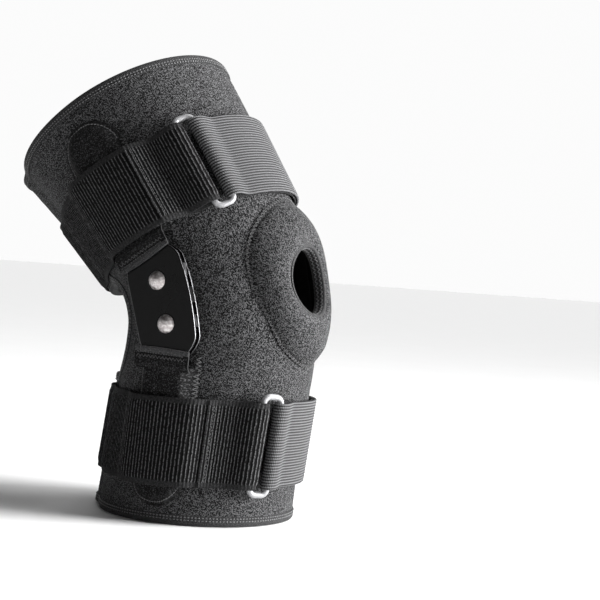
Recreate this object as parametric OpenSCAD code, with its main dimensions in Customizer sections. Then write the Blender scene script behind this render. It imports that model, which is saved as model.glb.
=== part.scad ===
// Hinged wraparound knee brace with an open patella, in its worn, slightly bent shape.
// Millimetres, +Z up. The front of the knee faces -Y and the outer side of the leg faces -X.
// The origin is the centre of the calf opening, on the plane that the calf rim stands on.

/* [Leg shape] */
// Length of the calf half, from its rim to the middle of the bend
calf_len = 135; // [125:1:145]
// Length of the thigh half, from the middle of the bend to its rim
thigh_len = 122; // [115:1:135]
// Lean of the calf half towards the front, in degrees
calf_lean = 2; // [0:1:4]
// Lean of the thigh half towards the back, in degrees
thigh_lean = 35; // [32:1:38]
// Radius of the knee bend along the centre line
bend_r = 85; // [80:1:90]
// Calf rim: half width, front depth and back depth
calf_rim = [58, 57, 57.5]; // [50:0.5:80]
// Middle of the calf: half width, front depth and back depth
calf_mid = [57, 58.5, 54]; // [50:0.5:80]
// Below the knee: half width, front depth and back depth
below_knee = [56, 63, 50.5]; // [50:0.5:80]
// Knee: half width, front depth and back depth
knee = [56, 63, 54]; // [50:0.5:80]
// Above the knee: half width, front depth and back depth
above_knee = [58, 64, 54.5]; // [50:0.5:80]
// Middle of the thigh: half width, front depth and back depth
thigh_mid = [61.5, 65, 61.5]; // [50:0.5:80]
// Thigh rim: half width, front depth and back depth
thigh_rim = [66, 64.5, 75]; // [50:0.5:80]

/* [Fabric] */
// Thickness of the padded sleeve fabric
fabric_t = 3.5; // [2.5:0.1:4]
// Thickness of the overlapping closing flaps
wing_t = 2.8; // [2:0.1:3]
// Depth of the stitched binding on each rim
binding_w = 4; // [3:0.5:5]
// Place along the leg where the calf wrap ends and the knee panel starts
panel_start = 77; // [76:0.5:80]
// Place along the leg where the knee panel ends and the thigh wrap starts
panel_end = 158; // [157:0.5:158]
// Place along the leg where the open back of the knee starts
gap_start = 93; // [90:0.5:96]
// Place along the leg where the open back of the knee ends
gap_end = 150; // [148:0.5:152]
// Angle from the front at which the knee panel ends beside the open back
panel_angle = 126; // [118:1:130]

/* [Patella] */
// Radius of the opening in front of the kneecap
patella_r = 20; // [18:0.5:21]
// Place of the opening along the leg
patella_s = 128; // [126:0.5:130]
// Half width of the padded ring round the opening
pad_half_w = 37; // [35:0.5:38]
// How much wider the padded ring is towards the thigh than at its middle, as a part of its width
pad_egg = 0.3; // [0:0.05:0.3]
// Half height of the padded ring, measured along the centre line
pad_half_h = 32; // [30:0.5:32.5]
// Thickness of the padded ring
pad_t = 9.5; // [7:0.5:10]

/* [Hinge] */
// Lean of the hinge plates towards the back, in degrees
hinge_lean = 18; // [16:1:20]
// Distance of the hinge's middle in front of the origin
hinge_front = 5.5; // [5:0.5:6]
// Height of the hinge's middle
hinge_z = 124.5; // [123:0.5:126]
// Radius of the rivet's shank
rivet_r = 2.5; // [2.4:0.1:3]
// Radius of the rivet's domed head
head_r = 5.4; // [4.5:0.1:5.5]
// Length of the hinge plates
plate_l = 68; // [66:1:70]
// Width of the hinge plates
plate_w = 38; // [36:1:40]
// Thickness of each hinge plate
plate_t = 1.5; // [1.2:0.1:1.5]
// Thickness of the metal stays
stay_t = 2.6; // [2.4:0.1:2.6]
// Width of the metal stays
stay_w = 20; // [18:1:20]

/* [Straps] */
// Width of the webbing
strap_w = 50; // [46:1:52]
// Thickness of the webbing
strap_t = 1.6; // [1.2:0.1:1.8]
// Middle of the calf strap along the leg, at the front
calf_strap_s = 49.5; // [48:0.5:51]
// Middle of the thigh strap along the leg, at the front
thigh_strap_s = 184; // [184:0.5:186]
// How much lower the calf strap runs at the back than at the front
calf_strap_drop = 4; // [0:0.5:5]
// How much higher the thigh strap runs at the back than at the front
thigh_strap_rise = 6; // [0:0.5:8]
// Angle of the calf ring from the front
calf_ring_angle = 29; // [26:1:34]
// Angle of the thigh ring from the front
thigh_ring_angle = 45; // [42:1:48]
// Outer length of the rings
ring_l = 60; // [58:1:62]
// Outer width of the rings
ring_w = 15; // [14:0.5:17]
// Radius of the ring's wire
ring_r = 1.75; // [1.5:0.05:2]

/* [Hidden] */
$fn = 64;

fabric_color = [0.16, 0.16, 0.17];
binding_color = [0.10, 0.10, 0.11];
strap_color = [0.07, 0.07, 0.07];
webbing_color = [0.42, 0.42, 0.43];
hook_color = [0.55, 0.55, 0.56];
plate_color = [0.03, 0.03, 0.03];
steel_color = [0.80, 0.80, 0.82];

// ---- Centre line of the leg: straight calf, circular bend, straight thigh ----
// A place along the leg is s, measured from the calf rim; [y, z] vectors lie in the bend's plane.
bend = calf_lean + thigh_lean;
bend_start = calf_len - bend_r * tan(bend / 2);
bend_end = bend_start + bend_r * bend * PI / 180;
leg_len = bend_end + thigh_len - bend_r * tan(bend / 2);
rim_blend = 30; // length over which the sections level out towards the standing rim

function along(a) = [sin(a), cos(a)];
function backward(a) = [cos(a), -sin(a)];
function clamp(x) = min(max(x, 0), 1);
function smooth(x) = let (t = clamp(x)) t * t * (3 - 2 * t);
function mix(a, b, t) = a + (b - a) * t;
function plateau(x, from, to, ramp) = smooth((x - from + ramp) / ramp) * smooth((to + ramp - x) / ramp);

function lean(s) = -calf_lean + bend * clamp((s - bend_start) / (bend_end - bend_start));
function tilt(s) = lean(s) * clamp(s / rim_blend);
function centre(s) =
    s <= bend_start ? s * along(-calf_lean)
    : s <= bend_end ? bend_start * along(-calf_lean) + bend_r * (backward(-calf_lean) - backward(lean(s)))
    : centre(bend_end) + (s - bend_end) * along(thigh_lean);

// ---- Cross-sections: half ellipses, blended along the leg by a cubic through the stations ----
stations = leg_len * [0, 0.177, 0.353, 0.51, 0.65, 0.805, 1];
sections = [calf_rim, calf_mid, below_knee, knee, above_knee, thigh_mid, thigh_rim];
last = len(stations) - 1;
function grade(i) =
    let (a = max(i - 1, 0), b = min(i + 1, last))
    (sections[b] - sections[a]) / (stations[b] - stations[a]);
function span(s) = max([for (i = [0 : last - 1]) if (i == 0 || s >= stations[i]) i]);
function section(s) =
    let (i = span(s), h = stations[i + 1] - stations[i], t = (s - stations[i]) / h)
    sections[i] * (2 * t * t * t - 3 * t * t + 1) + grade(i) * h * (t * t * t - 2 * t * t + t)
    + sections[i + 1] * (3 * t * t - 2 * t * t * t) + grade(i + 1) * h * (t * t * t - t * t);

// A point on the sleeve: angle from the front towards the outer side, place along the leg, lift
function skin(angle, s, lift = 0) =
    let (w = section(s), c = centre(s), f = ((cos(angle) > 0 ? w[1] : w[2]) + lift) * cos(angle))
    [-(w[0] + lift) * sin(angle), c[0] - f * cos(tilt(s)), c[1] + f * sin(tilt(s))];
// The angle at which the sleeve is a distance forward of the centre line, on the outer side
function side_angle(forward, s) = let (w = section(s)) acos(forward / (forward > 0 ? w[1] : w[2]));

// ---- Closed solid between an outer and an inner surface, each a function of two fractions ----
module sheet_solid(nu, nv, outer, inner, loop = false) {
    rows = loop ? nu - 1 : nu;
    half = (rows + 1) * (nv + 1);
    at = function (i, j) (loop ? i % nu : i) * (nv + 1) + j;
    points_of = function (shape) [for (i = [0 : rows], j = [0 : nv]) shape(i / nu, j / nv)];
    skins = [for (i = [0 : nu - 1], j = [0 : nv - 1])
        each [[at(i, j), at(i + 1, j), at(i + 1, j + 1)],
              [at(i, j), at(i + 1, j + 1), at(i, j + 1)],
              [half + at(i, j), half + at(i + 1, j + 1), half + at(i + 1, j)],
              [half + at(i, j), half + at(i, j + 1), half + at(i + 1, j + 1)]]];
    long_edges = [for (i = [0 : nu - 1])
        each [[at(i + 1, 0), at(i, 0), half + at(i, 0)],
              [at(i + 1, 0), half + at(i, 0), half + at(i + 1, 0)],
              [at(i, nv), at(i + 1, nv), half + at(i + 1, nv)],
              [at(i, nv), half + at(i + 1, nv), half + at(i, nv)]]];
    end_edges = loop ? [] : [for (j = [0 : nv - 1])
        each [[at(0, j), at(0, j + 1), half + at(0, j + 1)],
              [at(0, j), half + at(0, j + 1), half + at(0, j)],
              [at(nu, j + 1), at(nu, j), half + at(nu, j)],
              [at(nu, j + 1), half + at(nu, j), half + at(nu, j + 1)]]];
    polyhedron(concat(points_of(outer), points_of(inner)), concat(skins, long_edges, end_edges));
}

// ---- Sleeve: two wraps that close at the back, and the knee panel between them ----
inner_flap = -195; // the inner side's flap runs this far round the back
outer_flap = 150;  // where the outer side's wrap turns into its overlapping wing
wing_end = 224;    // where the wing's rounded lobe ends
wing_gap = 0.4;    // space between the wing and what lies under it
wing_step = 0.2;   // part of the wing over which it rises onto the other flap
lobe_from = 0.55;  // part of the wing after which its lobe narrows
lobe_tip = 0.35;   // height left at the lobe's end, as a part of the whole
tab_t = 1.4;       // thickness of a hook tab
tab_lift = 0.3;    // space under a hook tab
tab_start = 200;   // where the sleeve's hook tab starts, under the wing
tab_end = 242;     // where the sleeve's hook tab ends
tab_half = 24;     // half height of the sleeve's hook tab
wing_lift = tab_lift + tab_t + wing_gap;

module wrap(from, to) {
    color(fabric_color) sheet_solid(46, 5,
        function (u, v) skin(mix(inner_flap, outer_flap, u), mix(from, to, v), 0),
        function (u, v) skin(mix(inner_flap, outer_flap, u), mix(from, to, v), -fabric_t));
}

// The wing's height narrows to a round lobe over its last part
function lobe(u, half_h) =
    let (t = clamp((u - lobe_from) / (1 - lobe_from)))
    half_h * max(sqrt(1 - t * t), lobe_tip);
function wing_point(u, v, from, to, lift) =
    let (half_h = (to - from) / 2)
    skin(mix(outer_flap, wing_end, u), (from + to) / 2 + lobe(u, half_h) * (2 * v - 1), lift);

module wing(from, to) {
    rise = function (u) smooth(u / wing_step);
    color(fabric_color) sheet_solid(18, 6,
        function (u, v) wing_point(u, v, from, to, mix(0, wing_lift + wing_t, rise(u))),
        function (u, v) wing_point(u, v, from, to, mix(-fabric_t, wing_lift, rise(u))));
}

// A hook tab's height, rounded off towards its free end
tab_round = 0.6;   // part of a hook tab after which its corners round off
tab_tip = 0.5;     // height left at a hook tab's end, as a part of the whole
function tab_height(u, half_h) =
    let (t = clamp((u - tab_round) / (1 - tab_round)))
    half_h * max(sqrt(1 - t * t), tab_tip);

module wrap_hook_tab(s_mid) {
    place = function (u, v, lift)
        skin(mix(tab_start, tab_end, u), s_mid + tab_height(u, tab_half) * (2 * v - 1), lift);
    color(hook_color) sheet_solid(8, 2,
        function (u, v) place(u, v, tab_lift + tab_t),
        function (u, v) place(u, v, tab_lift));
}

// Binding folded over a rim, a little thicker than the fabric on both faces
binding_proud = 0.8;
module edge_binding(from, to) {
    color(binding_color) sheet_solid(60, 1,
        function (u, v) skin(mix(inner_flap, outer_flap, u), mix(from, to, v), binding_proud),
        function (u, v) skin(mix(inner_flap, outer_flap, u), mix(from, to, v), -fabric_t - binding_proud));
}

module calf_wrap() wrap(binding_w, panel_start);
module calf_wing() wing(binding_w, panel_start);
module calf_wrap_hook_tab() wrap_hook_tab((binding_w + panel_start) / 2);
module calf_edge_binding() edge_binding(0, binding_w);
module thigh_wrap() wrap(panel_end, leg_len - binding_w);
module thigh_wing() wing(panel_end, leg_len - binding_w);
module thigh_wrap_hook_tab() wrap_hook_tab((panel_end + leg_len - binding_w) / 2);
module thigh_edge_binding() edge_binding(leg_len - binding_w, leg_len);

// ---- Patella opening: its axis is square to the front of the knee ----
liner_t = 1.5;     // thickness of the liner sewn round the opening
liner_out = 8.5;   // reach of the liner in front of the sleeve's surface
liner_in = 4;      // reach of the liner behind the sleeve's surface
seam_gap = 0.4;    // space between soft parts that are sewn together
pad_floor = 0.3;   // space between the padded ring and the panel
pad_edge = 1.5;    // thickness of the padded ring at its stitched border
pad_s = 125.5;     // middle of the padded ring along the leg
pad_hole = 0.3;    // the ring's surface starts inside the opening, which is then cut
pad_crown = 0.5;   // part of the way from the border to the opening where the ring is at full height
cut_depth = 60;    // length of the cut for the opening, through all the layers
patella_point = skin(0, patella_s);

module at_patella() {
    translate(patella_point) rotate([90 - lean(patella_s), 0, 0]) children();
}
module patella_cut() {
    at_patella() cylinder(h = cut_depth, r = patella_r + liner_t + seam_gap, center = true);
}

// The panel reaches furthest round where it meets the wraps, which leaves a rounded notch at the back
panel_reach = 168;
module knee_panel() {
    place = function (u, v, lift)
        let (s = mix(panel_start + seam_gap, panel_end - seam_gap, v),
             open = smooth((s - panel_start) / (gap_start - panel_start))
                 * smooth((panel_end - s) / (panel_end - gap_end)),
             reach = mix(panel_reach, panel_angle, open))
        skin(mix(-reach, reach, u), s, lift);
    color(fabric_color) difference() {
        sheet_solid(36, 12,
            function (u, v) place(u, v, 0),
            function (u, v) place(u, v, -fabric_t));
        patella_cut();
    }
}

module patella_pad() {
    place = function (u, v, lift)
        let (q = mix(1, pad_hole, v), up = q * sin(360 * u),
             x = pad_half_w * q * cos(360 * u) * (1 + pad_egg * up))
        skin(asin(x / (knee[0] + lift)), pad_s + pad_half_h * up, lift);
    bulge = function (v) (pad_t - pad_edge) * smooth(v / pad_crown);
    color(fabric_color) difference() {
        sheet_solid(44, 6,
            function (u, v) place(u, v, pad_floor + pad_edge + bulge(v)),
            function (u, v) place(u, v, pad_floor),
            loop = true);
        patella_cut();
    }
}

module patella_binding() {
    color(binding_color) at_patella() translate([0, 0, -liner_in]) rotate_extrude($fn = 96)
        translate([patella_r, 0]) square([liner_t, liner_in + liner_out]);
}

// ---- Hinge: each layer is drawn flat, x forward and y along, then set against the leg ----
layer_gap = 0.3;                                // space between the plates and the stays
inner_face = 58.2;                              // from the middle of the leg to the inner plate
stay_face = inner_face + plate_t + layer_gap;   // to the stays
outer_face = stay_face + stay_t + layer_gap;    // to the outer plate
rivet_pitch = 25;                               // distance between a hinge's two rivets
hinge_mid = [-hinge_front, hinge_z];
upper_rivet_at = hinge_mid + along(hinge_lean) * rivet_pitch / 2;
lower_rivet_at = hinge_mid - along(hinge_lean) * rivet_pitch / 2;

// Sets a flat drawing on the outer side of the leg, its thickness pointing away from the leg
module against_leg(yz, lean_angle, from_middle) {
    translate([-from_middle, yz[0], yz[1]]) rotate([-lean_angle, 0, 0]) rotate([90, 0, -90]) children();
}

plate_corner = 18;
plate_bow = 150;    // radius of the plates' bowed front edge
module plate(from_middle) {
    color(plate_color) against_leg(hinge_mid, hinge_lean, from_middle)
    linear_extrude(plate_t) difference() {
        intersection() {
            hull() for (x = [-1, 1], y = [-1, 1])
                translate([x * (plate_w / 2 - plate_corner), y * (plate_l / 2 - plate_corner)])
                    circle(plate_corner);
            translate([plate_w / 2 - plate_bow, 0]) circle(plate_bow, $fn = 720);
        }
        for (y = [-1, 1]) translate([0, y * rivet_pitch / 2]) circle(rivet_r);
    }
}

dome_h = 3;
module rivet(yz) {
    shank = outer_face + plate_t - inner_face;
    dome_r = (head_r * head_r + dome_h * dome_h) / (2 * dome_h);
    color(steel_color) against_leg(yz, hinge_lean, inner_face) rotate_extrude() union() {
        square([rivet_r, shank]);
        intersection() {
            translate([0, shank + dome_h - dome_r]) circle(dome_r, $fn = 96);
            translate([0, shank]) square([head_r, dome_h]);
        }
    }
}

washer_t = 0.25;
module washers() {
    color(hook_color)
        for (yz = [upper_rivet_at, lower_rivet_at], x = [inner_face + plate_t, outer_face - washer_t])
            against_leg(yz, hinge_lean, x) linear_extrude(washer_t) difference() {
                circle(head_r);
                circle(rivet_r);
            }
}

// Block between the plates that the stays' lugs meet when the leg is straight
stop_from = 14;  // forward of the hinge's middle
stop_w = 4.5;
stop_h = 9;
module extension_stop() {
    color(steel_color) against_leg(hinge_mid, hinge_lean, inner_face + plate_t)
        translate([stop_from, -stop_h / 2, 0])
            cube([stop_w, stop_h, outer_face - inner_face - plate_t]);
}

// Geared head of a stay: teeth towards the other stay, a lug towards the front
teeth = 20;
pitch_r = rivet_pitch / 2;
root_r = pitch_r - 1.4;
tip_r = pitch_r + 1;
foot_r = root_r - 0.6;   // the teeth start inside the head's round part
foot_half = 1.35;        // half width of a tooth at its foot, at the pitch circle and at its tip
pitch_half = 0.8;
tooth_tip = 0.4;
side_teeth = 3;          // teeth on each side of the middle one
running_gap = 0.05;
lug_r = 17.5;            // reach of the lug that meets the stop
lug_w = 7;
lug_turn = 86;           // from the other rivet round to the lug, in degrees
module tooth() {
    polygon([[-foot_half, foot_r], [foot_half, foot_r], [pitch_half, pitch_r], [tooth_tip, tip_r],
             [-tooth_tip, tip_r], [-pitch_half, pitch_r]]);
}
module geared_head(mesh_angle, phase, lug_side) {
    difference() {
        union() {
            circle(root_r);
            rotate(mesh_angle)
                for (i = [-side_teeth : side_teeth]) rotate((i + phase) * 360 / teeth) tooth();
            rotate(mesh_angle + lug_side * lug_turn)
                translate([lug_side > 0 ? -lug_w : 0, 0]) square([lug_w, lug_r]);
        }
        circle(rivet_r + running_gap);
    }
}

// A bent strip seen from its edge: distances from the middle of the leg against places along it
module bent_strip(faces, width) {
    low = [for (p = faces) p];
    high = [for (i = [len(faces) - 1 : -1 : 0]) faces[i] + [stay_t, 0]];
    rotate([0, -90, 0]) linear_extrude(width, center = true) polygon(concat(low, high));
}

calf_stay_l = 95;    // from the rivet to the stay's end
thigh_stay_l = 96;
bend_at = 24;        // from the rivet to the stay's first bend, just past the plates
calf_bend_at = 60;   // from the rivet to the calf stay's second bend
calf_bend_face = 58.1;
calf_end_face = 58.5;
thigh_end_face = 64.7;
overrun = 30;        // the bent strips run on past the rivet
calf_faces = [[stay_face, overrun], [stay_face, -bend_at], [calf_bend_face, -calf_bend_at],
              [calf_end_face, -calf_stay_l - 1]];
thigh_faces = [[stay_face, -overrun], [stay_face, bend_at], [thigh_end_face, thigh_stay_l + 1]];

// A stay's blade with its round end: sign is -1 down the calf and 1 up the thigh
module blade(length, sign) {
    straight = length - stay_w / 2;
    difference() {
        union() {
            translate([-stay_w / 2, sign > 0 ? 0 : -straight]) square([stay_w, straight]);
            translate([0, sign * straight]) circle(stay_w / 2);
        }
        circle(rivet_r + running_gap);
    }
}

strip_w = 60;        // wider than a stay and its lug
strip_from = 50;     // nearer to the leg's middle than any stay
strip_depth = 30;
module stay(yz, lean_angle, sign, mesh_angle, phase, length, faces) {
    color(steel_color) against_leg(yz, lean_angle, 0) intersection() {
        translate([0, 0, strip_from]) linear_extrude(strip_depth) union() {
            geared_head(mesh_angle, phase, sign);
            blade(length, sign);
        }
        bent_strip(faces, strip_w);
    }
}

module calf_stay_lateral()
    stay(lower_rivet_at, -calf_lean, -1, calf_lean + hinge_lean, 0, calf_stay_l, calf_faces);
module thigh_stay_lateral()
    stay(upper_rivet_at, thigh_lean, 1, 180 + hinge_lean - thigh_lean, 0.5, thigh_stay_l, thigh_faces);

// ---- Pockets: sewn tunnels that hold the stays, open towards the hinge ----
pocket_t = 1.2;
calf_pocket_half = 17.5;
thigh_pocket_half = 20;
pocket_tip = 8;     // from the stay's end to the pocket's tip
tunnel_half = 11;   // half width of the tunnel's flat top
stay_space = 0.3;   // space between the stay and the pocket
tip_half = 4;       // half width left at the pocket's tip

// How far forward of the centre line the stays run, on each half of the leg
calf_forward = (centre(bend_start) - lower_rivet_at) * backward(-calf_lean);
thigh_forward = (centre(bend_end) - upper_rivet_at) * backward(thigh_lean);
// Place along the leg of a point that lies a distance from a rivet
calf_s0 = bend_start - (centre(bend_start) - lower_rivet_at) * along(-calf_lean);
thigh_s0 = bend_end + (upper_rivet_at - centre(bend_end)) * along(thigh_lean);

function strip_face(faces, y, i = 0) =
    let (a = faces[i], b = faces[i + 1], t = (y - a[1]) / (b[1] - a[1]))
    t <= 1 || i == len(faces) - 2 ? mix(a[0], b[0], t) : strip_face(faces, y, i + 1);

// sign is -1 down the calf and 1 up the thigh; run is measured from the rivet along the stay
module pocket(s0, sign, forward, faces, pocket_half, length) {
    width = function (run)
        let (short = max(pocket_half - length + run, 0))
        max(sqrt(pow(pocket_half, 2) - pow(short, 2)), tip_half);
    place = function (u, v, lift)
        let (run = mix(hem_end, length, v), s = s0 + sign * run, w = width(run), a = w * (2 * u - 1) * sign,
             p = skin(side_angle(forward + a, s), s),
             edge = min(smooth((w - abs(a)) / (pocket_half - tunnel_half)),
                        smooth((length - run) / pocket_tip)),
             flat = strip_face(faces, sign * run) + stay_t + stay_space)
        [-mix(abs(p[0]) + stay_space, max(flat, abs(p[0]) + stay_space), edge) - lift, p[1], p[2]];
    color(binding_color) sheet_solid(14, 14,
        function (u, v) place(u, v, pocket_t),
        function (u, v) place(u, v, 0));
}

// Hem: the pocket's reinforced mouth, which lies over the end of the outer plate
hem_gap = 0.4;
hem_face = outer_face + plate_t + hem_gap;
hem_w = 35;
hem_reach = 14;     // from the rivet to the hem's free edge
sweep_r = 23.7;     // the plate's end stays inside this radius about its rivet
hem_fall = 1.5;     // distance over which the hem comes down onto the stay
hem_end = sweep_r + hem_fall + 0.8;
hem_lead = 0.3;     // the hem's outer face comes down a little sooner than its inner face
module pocket_hem(yz, lean_angle, sign) {
    low = stay_face + stay_t + stay_space;
    side = [[hem_face, hem_reach], [hem_face + pocket_t, hem_reach],
            [hem_face + pocket_t, sweep_r - hem_lead],
            [low + pocket_t, sweep_r + hem_fall - hem_lead], [low + pocket_t, hem_end], [low, hem_end],
            [low, sweep_r + hem_fall], [hem_face, sweep_r]];
    color(binding_color) against_leg(yz, lean_angle, 0)
        rotate([0, -90, 0]) linear_extrude(hem_w, center = true)
            polygon([for (p = side) [p[0], sign * p[1]]]);
}

module calf_pocket_lateral()
    pocket(calf_s0, -1, calf_forward, calf_faces, calf_pocket_half, calf_stay_l + pocket_tip);
module thigh_pocket_lateral()
    pocket(thigh_s0, 1, thigh_forward, thigh_faces, thigh_pocket_half, thigh_stay_l + pocket_tip);
module calf_pocket_hem_lateral() pocket_hem(lower_rivet_at, -calf_lean, -1);
module thigh_pocket_hem_lateral() pocket_hem(upper_rivet_at, thigh_lean, 1);

// ---- Straps: one band from its sewn fold on the ring, round the leg and back to the ring ----
strap_lift = 1;       // space between the sleeve and the strap
pocket_rise = 7.8;    // extra lift of the strap where it crosses a pocket
wing_rise = wing_lift + wing_t;
tab_rise = tab_lift + tab_t;
bar_lift = 6.9;       // lift of the ring's bars above the sleeve
fold_gap = 0.7;       // space between the webbing and the bar that it turns round
fold_r = ring_r + fold_gap + strap_t / 2;
bar_half = ring_w / 2 - ring_r;
anchor_l = 30;        // length of the sewn fold
layer_lift = strap_t + 0.4;
pocket_span = 14;     // half width of the strap's rise over a pocket, in degrees, and its ramps
pocket_ramp = 16;
wing_ramp = 14;
wing_delay = 13;      // the strap rises this many degrees after the wing does
tab_ramp = 6;
over_edge = 2;        // the strap stays up this many degrees past an edge under it
bow = 20;             // steps of the fold round a bar, in degrees
turn_gap = 2;         // from the bar's middle to where the fold starts
start_gap = 9;        // from the bar to the strap's inner layer
strap_step = 3.8;     // steps of the strap round the leg, in degrees
tail_step = 4;

// A strap's middle line is [place at the front, rise towards the back]
calf_line = [calf_strap_s, -calf_strap_drop];
thigh_line = [thigh_strap_s, thigh_strap_rise];
function line_s(angle, line) = line[0] + line[1] * (1 - cos(angle)) / 2;
// Arc length per degree round the leg at a ring
function arc_mm(angle, s) =
    let (w = section(s)) norm([(w[0] + bar_lift) * cos(angle), (w[1] + bar_lift) * sin(angle)]) * PI / 180;
// Straight across the webbing from edge to edge, as a woven band lies
function band_point(angle, line, lift, v) =
    let (s = line_s(angle, line))
    mix(skin(angle, s - strap_w / 2, lift), skin(angle, s + strap_w / 2, lift), v);
// Lift of the strap's middle layer: over both pockets, the overlapping wing and its hook tab
function over_pocket(angle, pocket_angle) =
    pocket_rise * plateau(angle, pocket_angle - pocket_span, pocket_angle + pocket_span, pocket_ramp);
function strap_height(angle, pocket_angle) =
    strap_lift + strap_t / 2 + max(
        over_pocket(angle, pocket_angle),
        over_pocket(360 - angle, pocket_angle),
        wing_rise * plateau(angle, outer_flap + wing_delay, wing_end + over_edge, wing_ramp),
        tab_rise * plateau(angle, tab_start, tab_end + over_edge, tab_ramp));

// A webbing band that follows a path of [angle, lift] points
module band(path, line, r) {
    n = len(path) - 1;
    flat = [for (p = path) [p[0] * r, p[1]]];
    heading = function (i) let (d = flat[min(i + 1, n)] - flat[max(i - 1, 0)]) d / norm(d);
    face = function (u, v, side)
        let (i = round(u * n), d = heading(i), p = flat[i] + side * strap_t / 2 * [-d[1], d[0]])
        band_point(p[0] / r, line, p[1], v);
    sheet_solid(n, 1, function (u, v) face(u, v, 1), function (u, v) face(u, v, -1));
}

module strap(line, ring_angle, pocket_angle) {
    r = arc_mm(ring_angle, line_s(ring_angle, line));
    bar = ring_angle + bar_half / r;
    anchor = [for (t = [1 : -0.25 : 0])
        let (a = bar + mix(turn_gap, anchor_l, t) / r)
        [a, mix(bar_lift + fold_r, strap_height(a, pocket_angle) + layer_lift, smooth(t * 2))]];
    turn = [for (a = [90 : bow : 270]) [bar + fold_r * cos(a) / r, bar_lift + fold_r * sin(a)]];
    first = bar + start_gap / r;
    around = [for (a = [first : strap_step : ring_angle - bar_half / r + 360])
        [a, strap_height(a, pocket_angle)]];
    color(strap_color) band(concat(anchor, turn, around), line, r);
}

// Free end: it turns round the ring's front bar and lies back over the strap
tail_from = 14;       // distance over which the tail comes down onto the strap
tail_end = -50;       // angle at which the tail ends
module strap_tail(line, ring_angle) {
    r = arc_mm(ring_angle, line_s(ring_angle, line));
    bar = ring_angle - bar_half / r;
    over = strap_lift + strap_t / 2 + layer_lift;
    turn = [for (a = [-90 : bow : 90]) [bar + fold_r * cos(a) / r, bar_lift + fold_r * sin(a)]];
    down = [for (t = [0.25 : 0.25 : 1]) [bar - tail_from * t / r, mix(bar_lift + fold_r, over, smooth(t))]];
    flat_from = bar - (tail_from + tail_step) / r;
    lie = [for (a = [flat_from : -tail_step : tail_end]) [a, over]];
    color(webbing_color) band(concat(turn, down, lie), line, r);
}

// The strap's hook tab starts on the tail and comes down onto the strap beyond the tail's end
hook_on_tail = 8;     // how far the hook tab lies on the tail, in degrees
hook_beyond = 13;     // how far it reaches past the tail's end, in degrees
hook_margin = 2;      // how much narrower than the tail it is on each side
hook_fall = 0.4;      // part of its length over which it comes down, past the tail's end
hook_space = 0.4;     // space between the hook tab and what lies under it
module strap_hook_tab(line, pocket_angle) {
    falls_from = hook_on_tail / (hook_on_tail + hook_beyond);
    half_h = strap_w / 2 - hook_margin;
    angle_at = function (u) mix(tail_end + hook_on_tail, tail_end - hook_beyond, u);
    on_strap = function (u) strap_height(360 + angle_at(u), pocket_angle) + strap_t / 2 + hook_space;
    step = function (u) layer_lift * (1 - smooth((u - falls_from) / hook_fall));
    place = function (u, v, h)
        band_point(angle_at(u), line, on_strap(u) + step(u) + h,
            0.5 + tab_height(u, half_h) * (2 * v - 1) / strap_w);
    color(hook_color) sheet_solid(10, 2,
        function (u, v) place(u, v, tab_t),
        function (u, v) place(u, v, 0));
}

// Frame of a ring: x round the leg, y along it, z towards it
module at_ring(line, ring_angle) {
    s_mid = line_s(ring_angle, line);
    // The bars are straight, so the ring sits lower by the sag of the leg's curve between them
    sag = bar_half * bar_half / (2 * arc_mm(ring_angle, s_mid) * 180 / PI);
    low = skin(ring_angle, s_mid - strap_w / 2, bar_lift);
    high = skin(ring_angle, s_mid + strap_w / 2, bar_lift);
    mid = (low + high) / 2;
    y = (high - low) / norm(high - low);
    side = skin(ring_angle + 1, s_mid, bar_lift) - skin(ring_angle - 1, s_mid, bar_lift);
    flat_side = side - (side * y) * y;
    x = flat_side / norm(flat_side);
    z = cross(x, y);
    at = mid + z * sag;
    rows = [for (i = [0 : 2]) [x[i], y[i], z[i], at[i]]];
    multmatrix([rows[0], rows[1], rows[2], [0, 0, 0, 1]]) children();
}

ring_corner = 4;      // radius of the ring's corners along its wire's middle
module ring(line, ring_angle) {
    half_l = ring_l / 2 - ring_r;
    half_w = ring_w / 2 - ring_r;
    color(hook_color) at_ring(line, ring_angle) {
        for (x = [-half_w, half_w]) translate([x, 0, 0]) rotate([90, 0, 0])
            cylinder(h = 2 * (half_l - ring_corner), r = ring_r, center = true);
        for (y = [-half_l, half_l]) translate([0, y, 0]) rotate([0, 90, 0])
            cylinder(h = 2 * (half_w - ring_corner), r = ring_r, center = true);
        for (x = [0, 1], y = [0, 1]) mirror([x, 0, 0]) mirror([0, y, 0])
            translate([half_w - ring_corner, half_l - ring_corner, 0])
                rotate_extrude(angle = 90) translate([ring_corner, 0]) circle(ring_r);
    }
}

calf_pocket_angle = side_angle(calf_forward, calf_strap_s);
thigh_pocket_angle = side_angle(thigh_forward, thigh_strap_s);

module calf_strap() strap(calf_line, calf_ring_angle, calf_pocket_angle);
module calf_ring() ring(calf_line, calf_ring_angle);
module calf_strap_tail() strap_tail(calf_line, calf_ring_angle);
module calf_strap_hook_tab() strap_hook_tab(calf_line, calf_pocket_angle);
module thigh_strap() strap(thigh_line, thigh_ring_angle, thigh_pocket_angle);
module thigh_ring() ring(thigh_line, thigh_ring_angle);
module thigh_strap_tail() strap_tail(thigh_line, thigh_ring_angle);
module thigh_strap_hook_tab() strap_hook_tab(thigh_line, thigh_pocket_angle);

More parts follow.
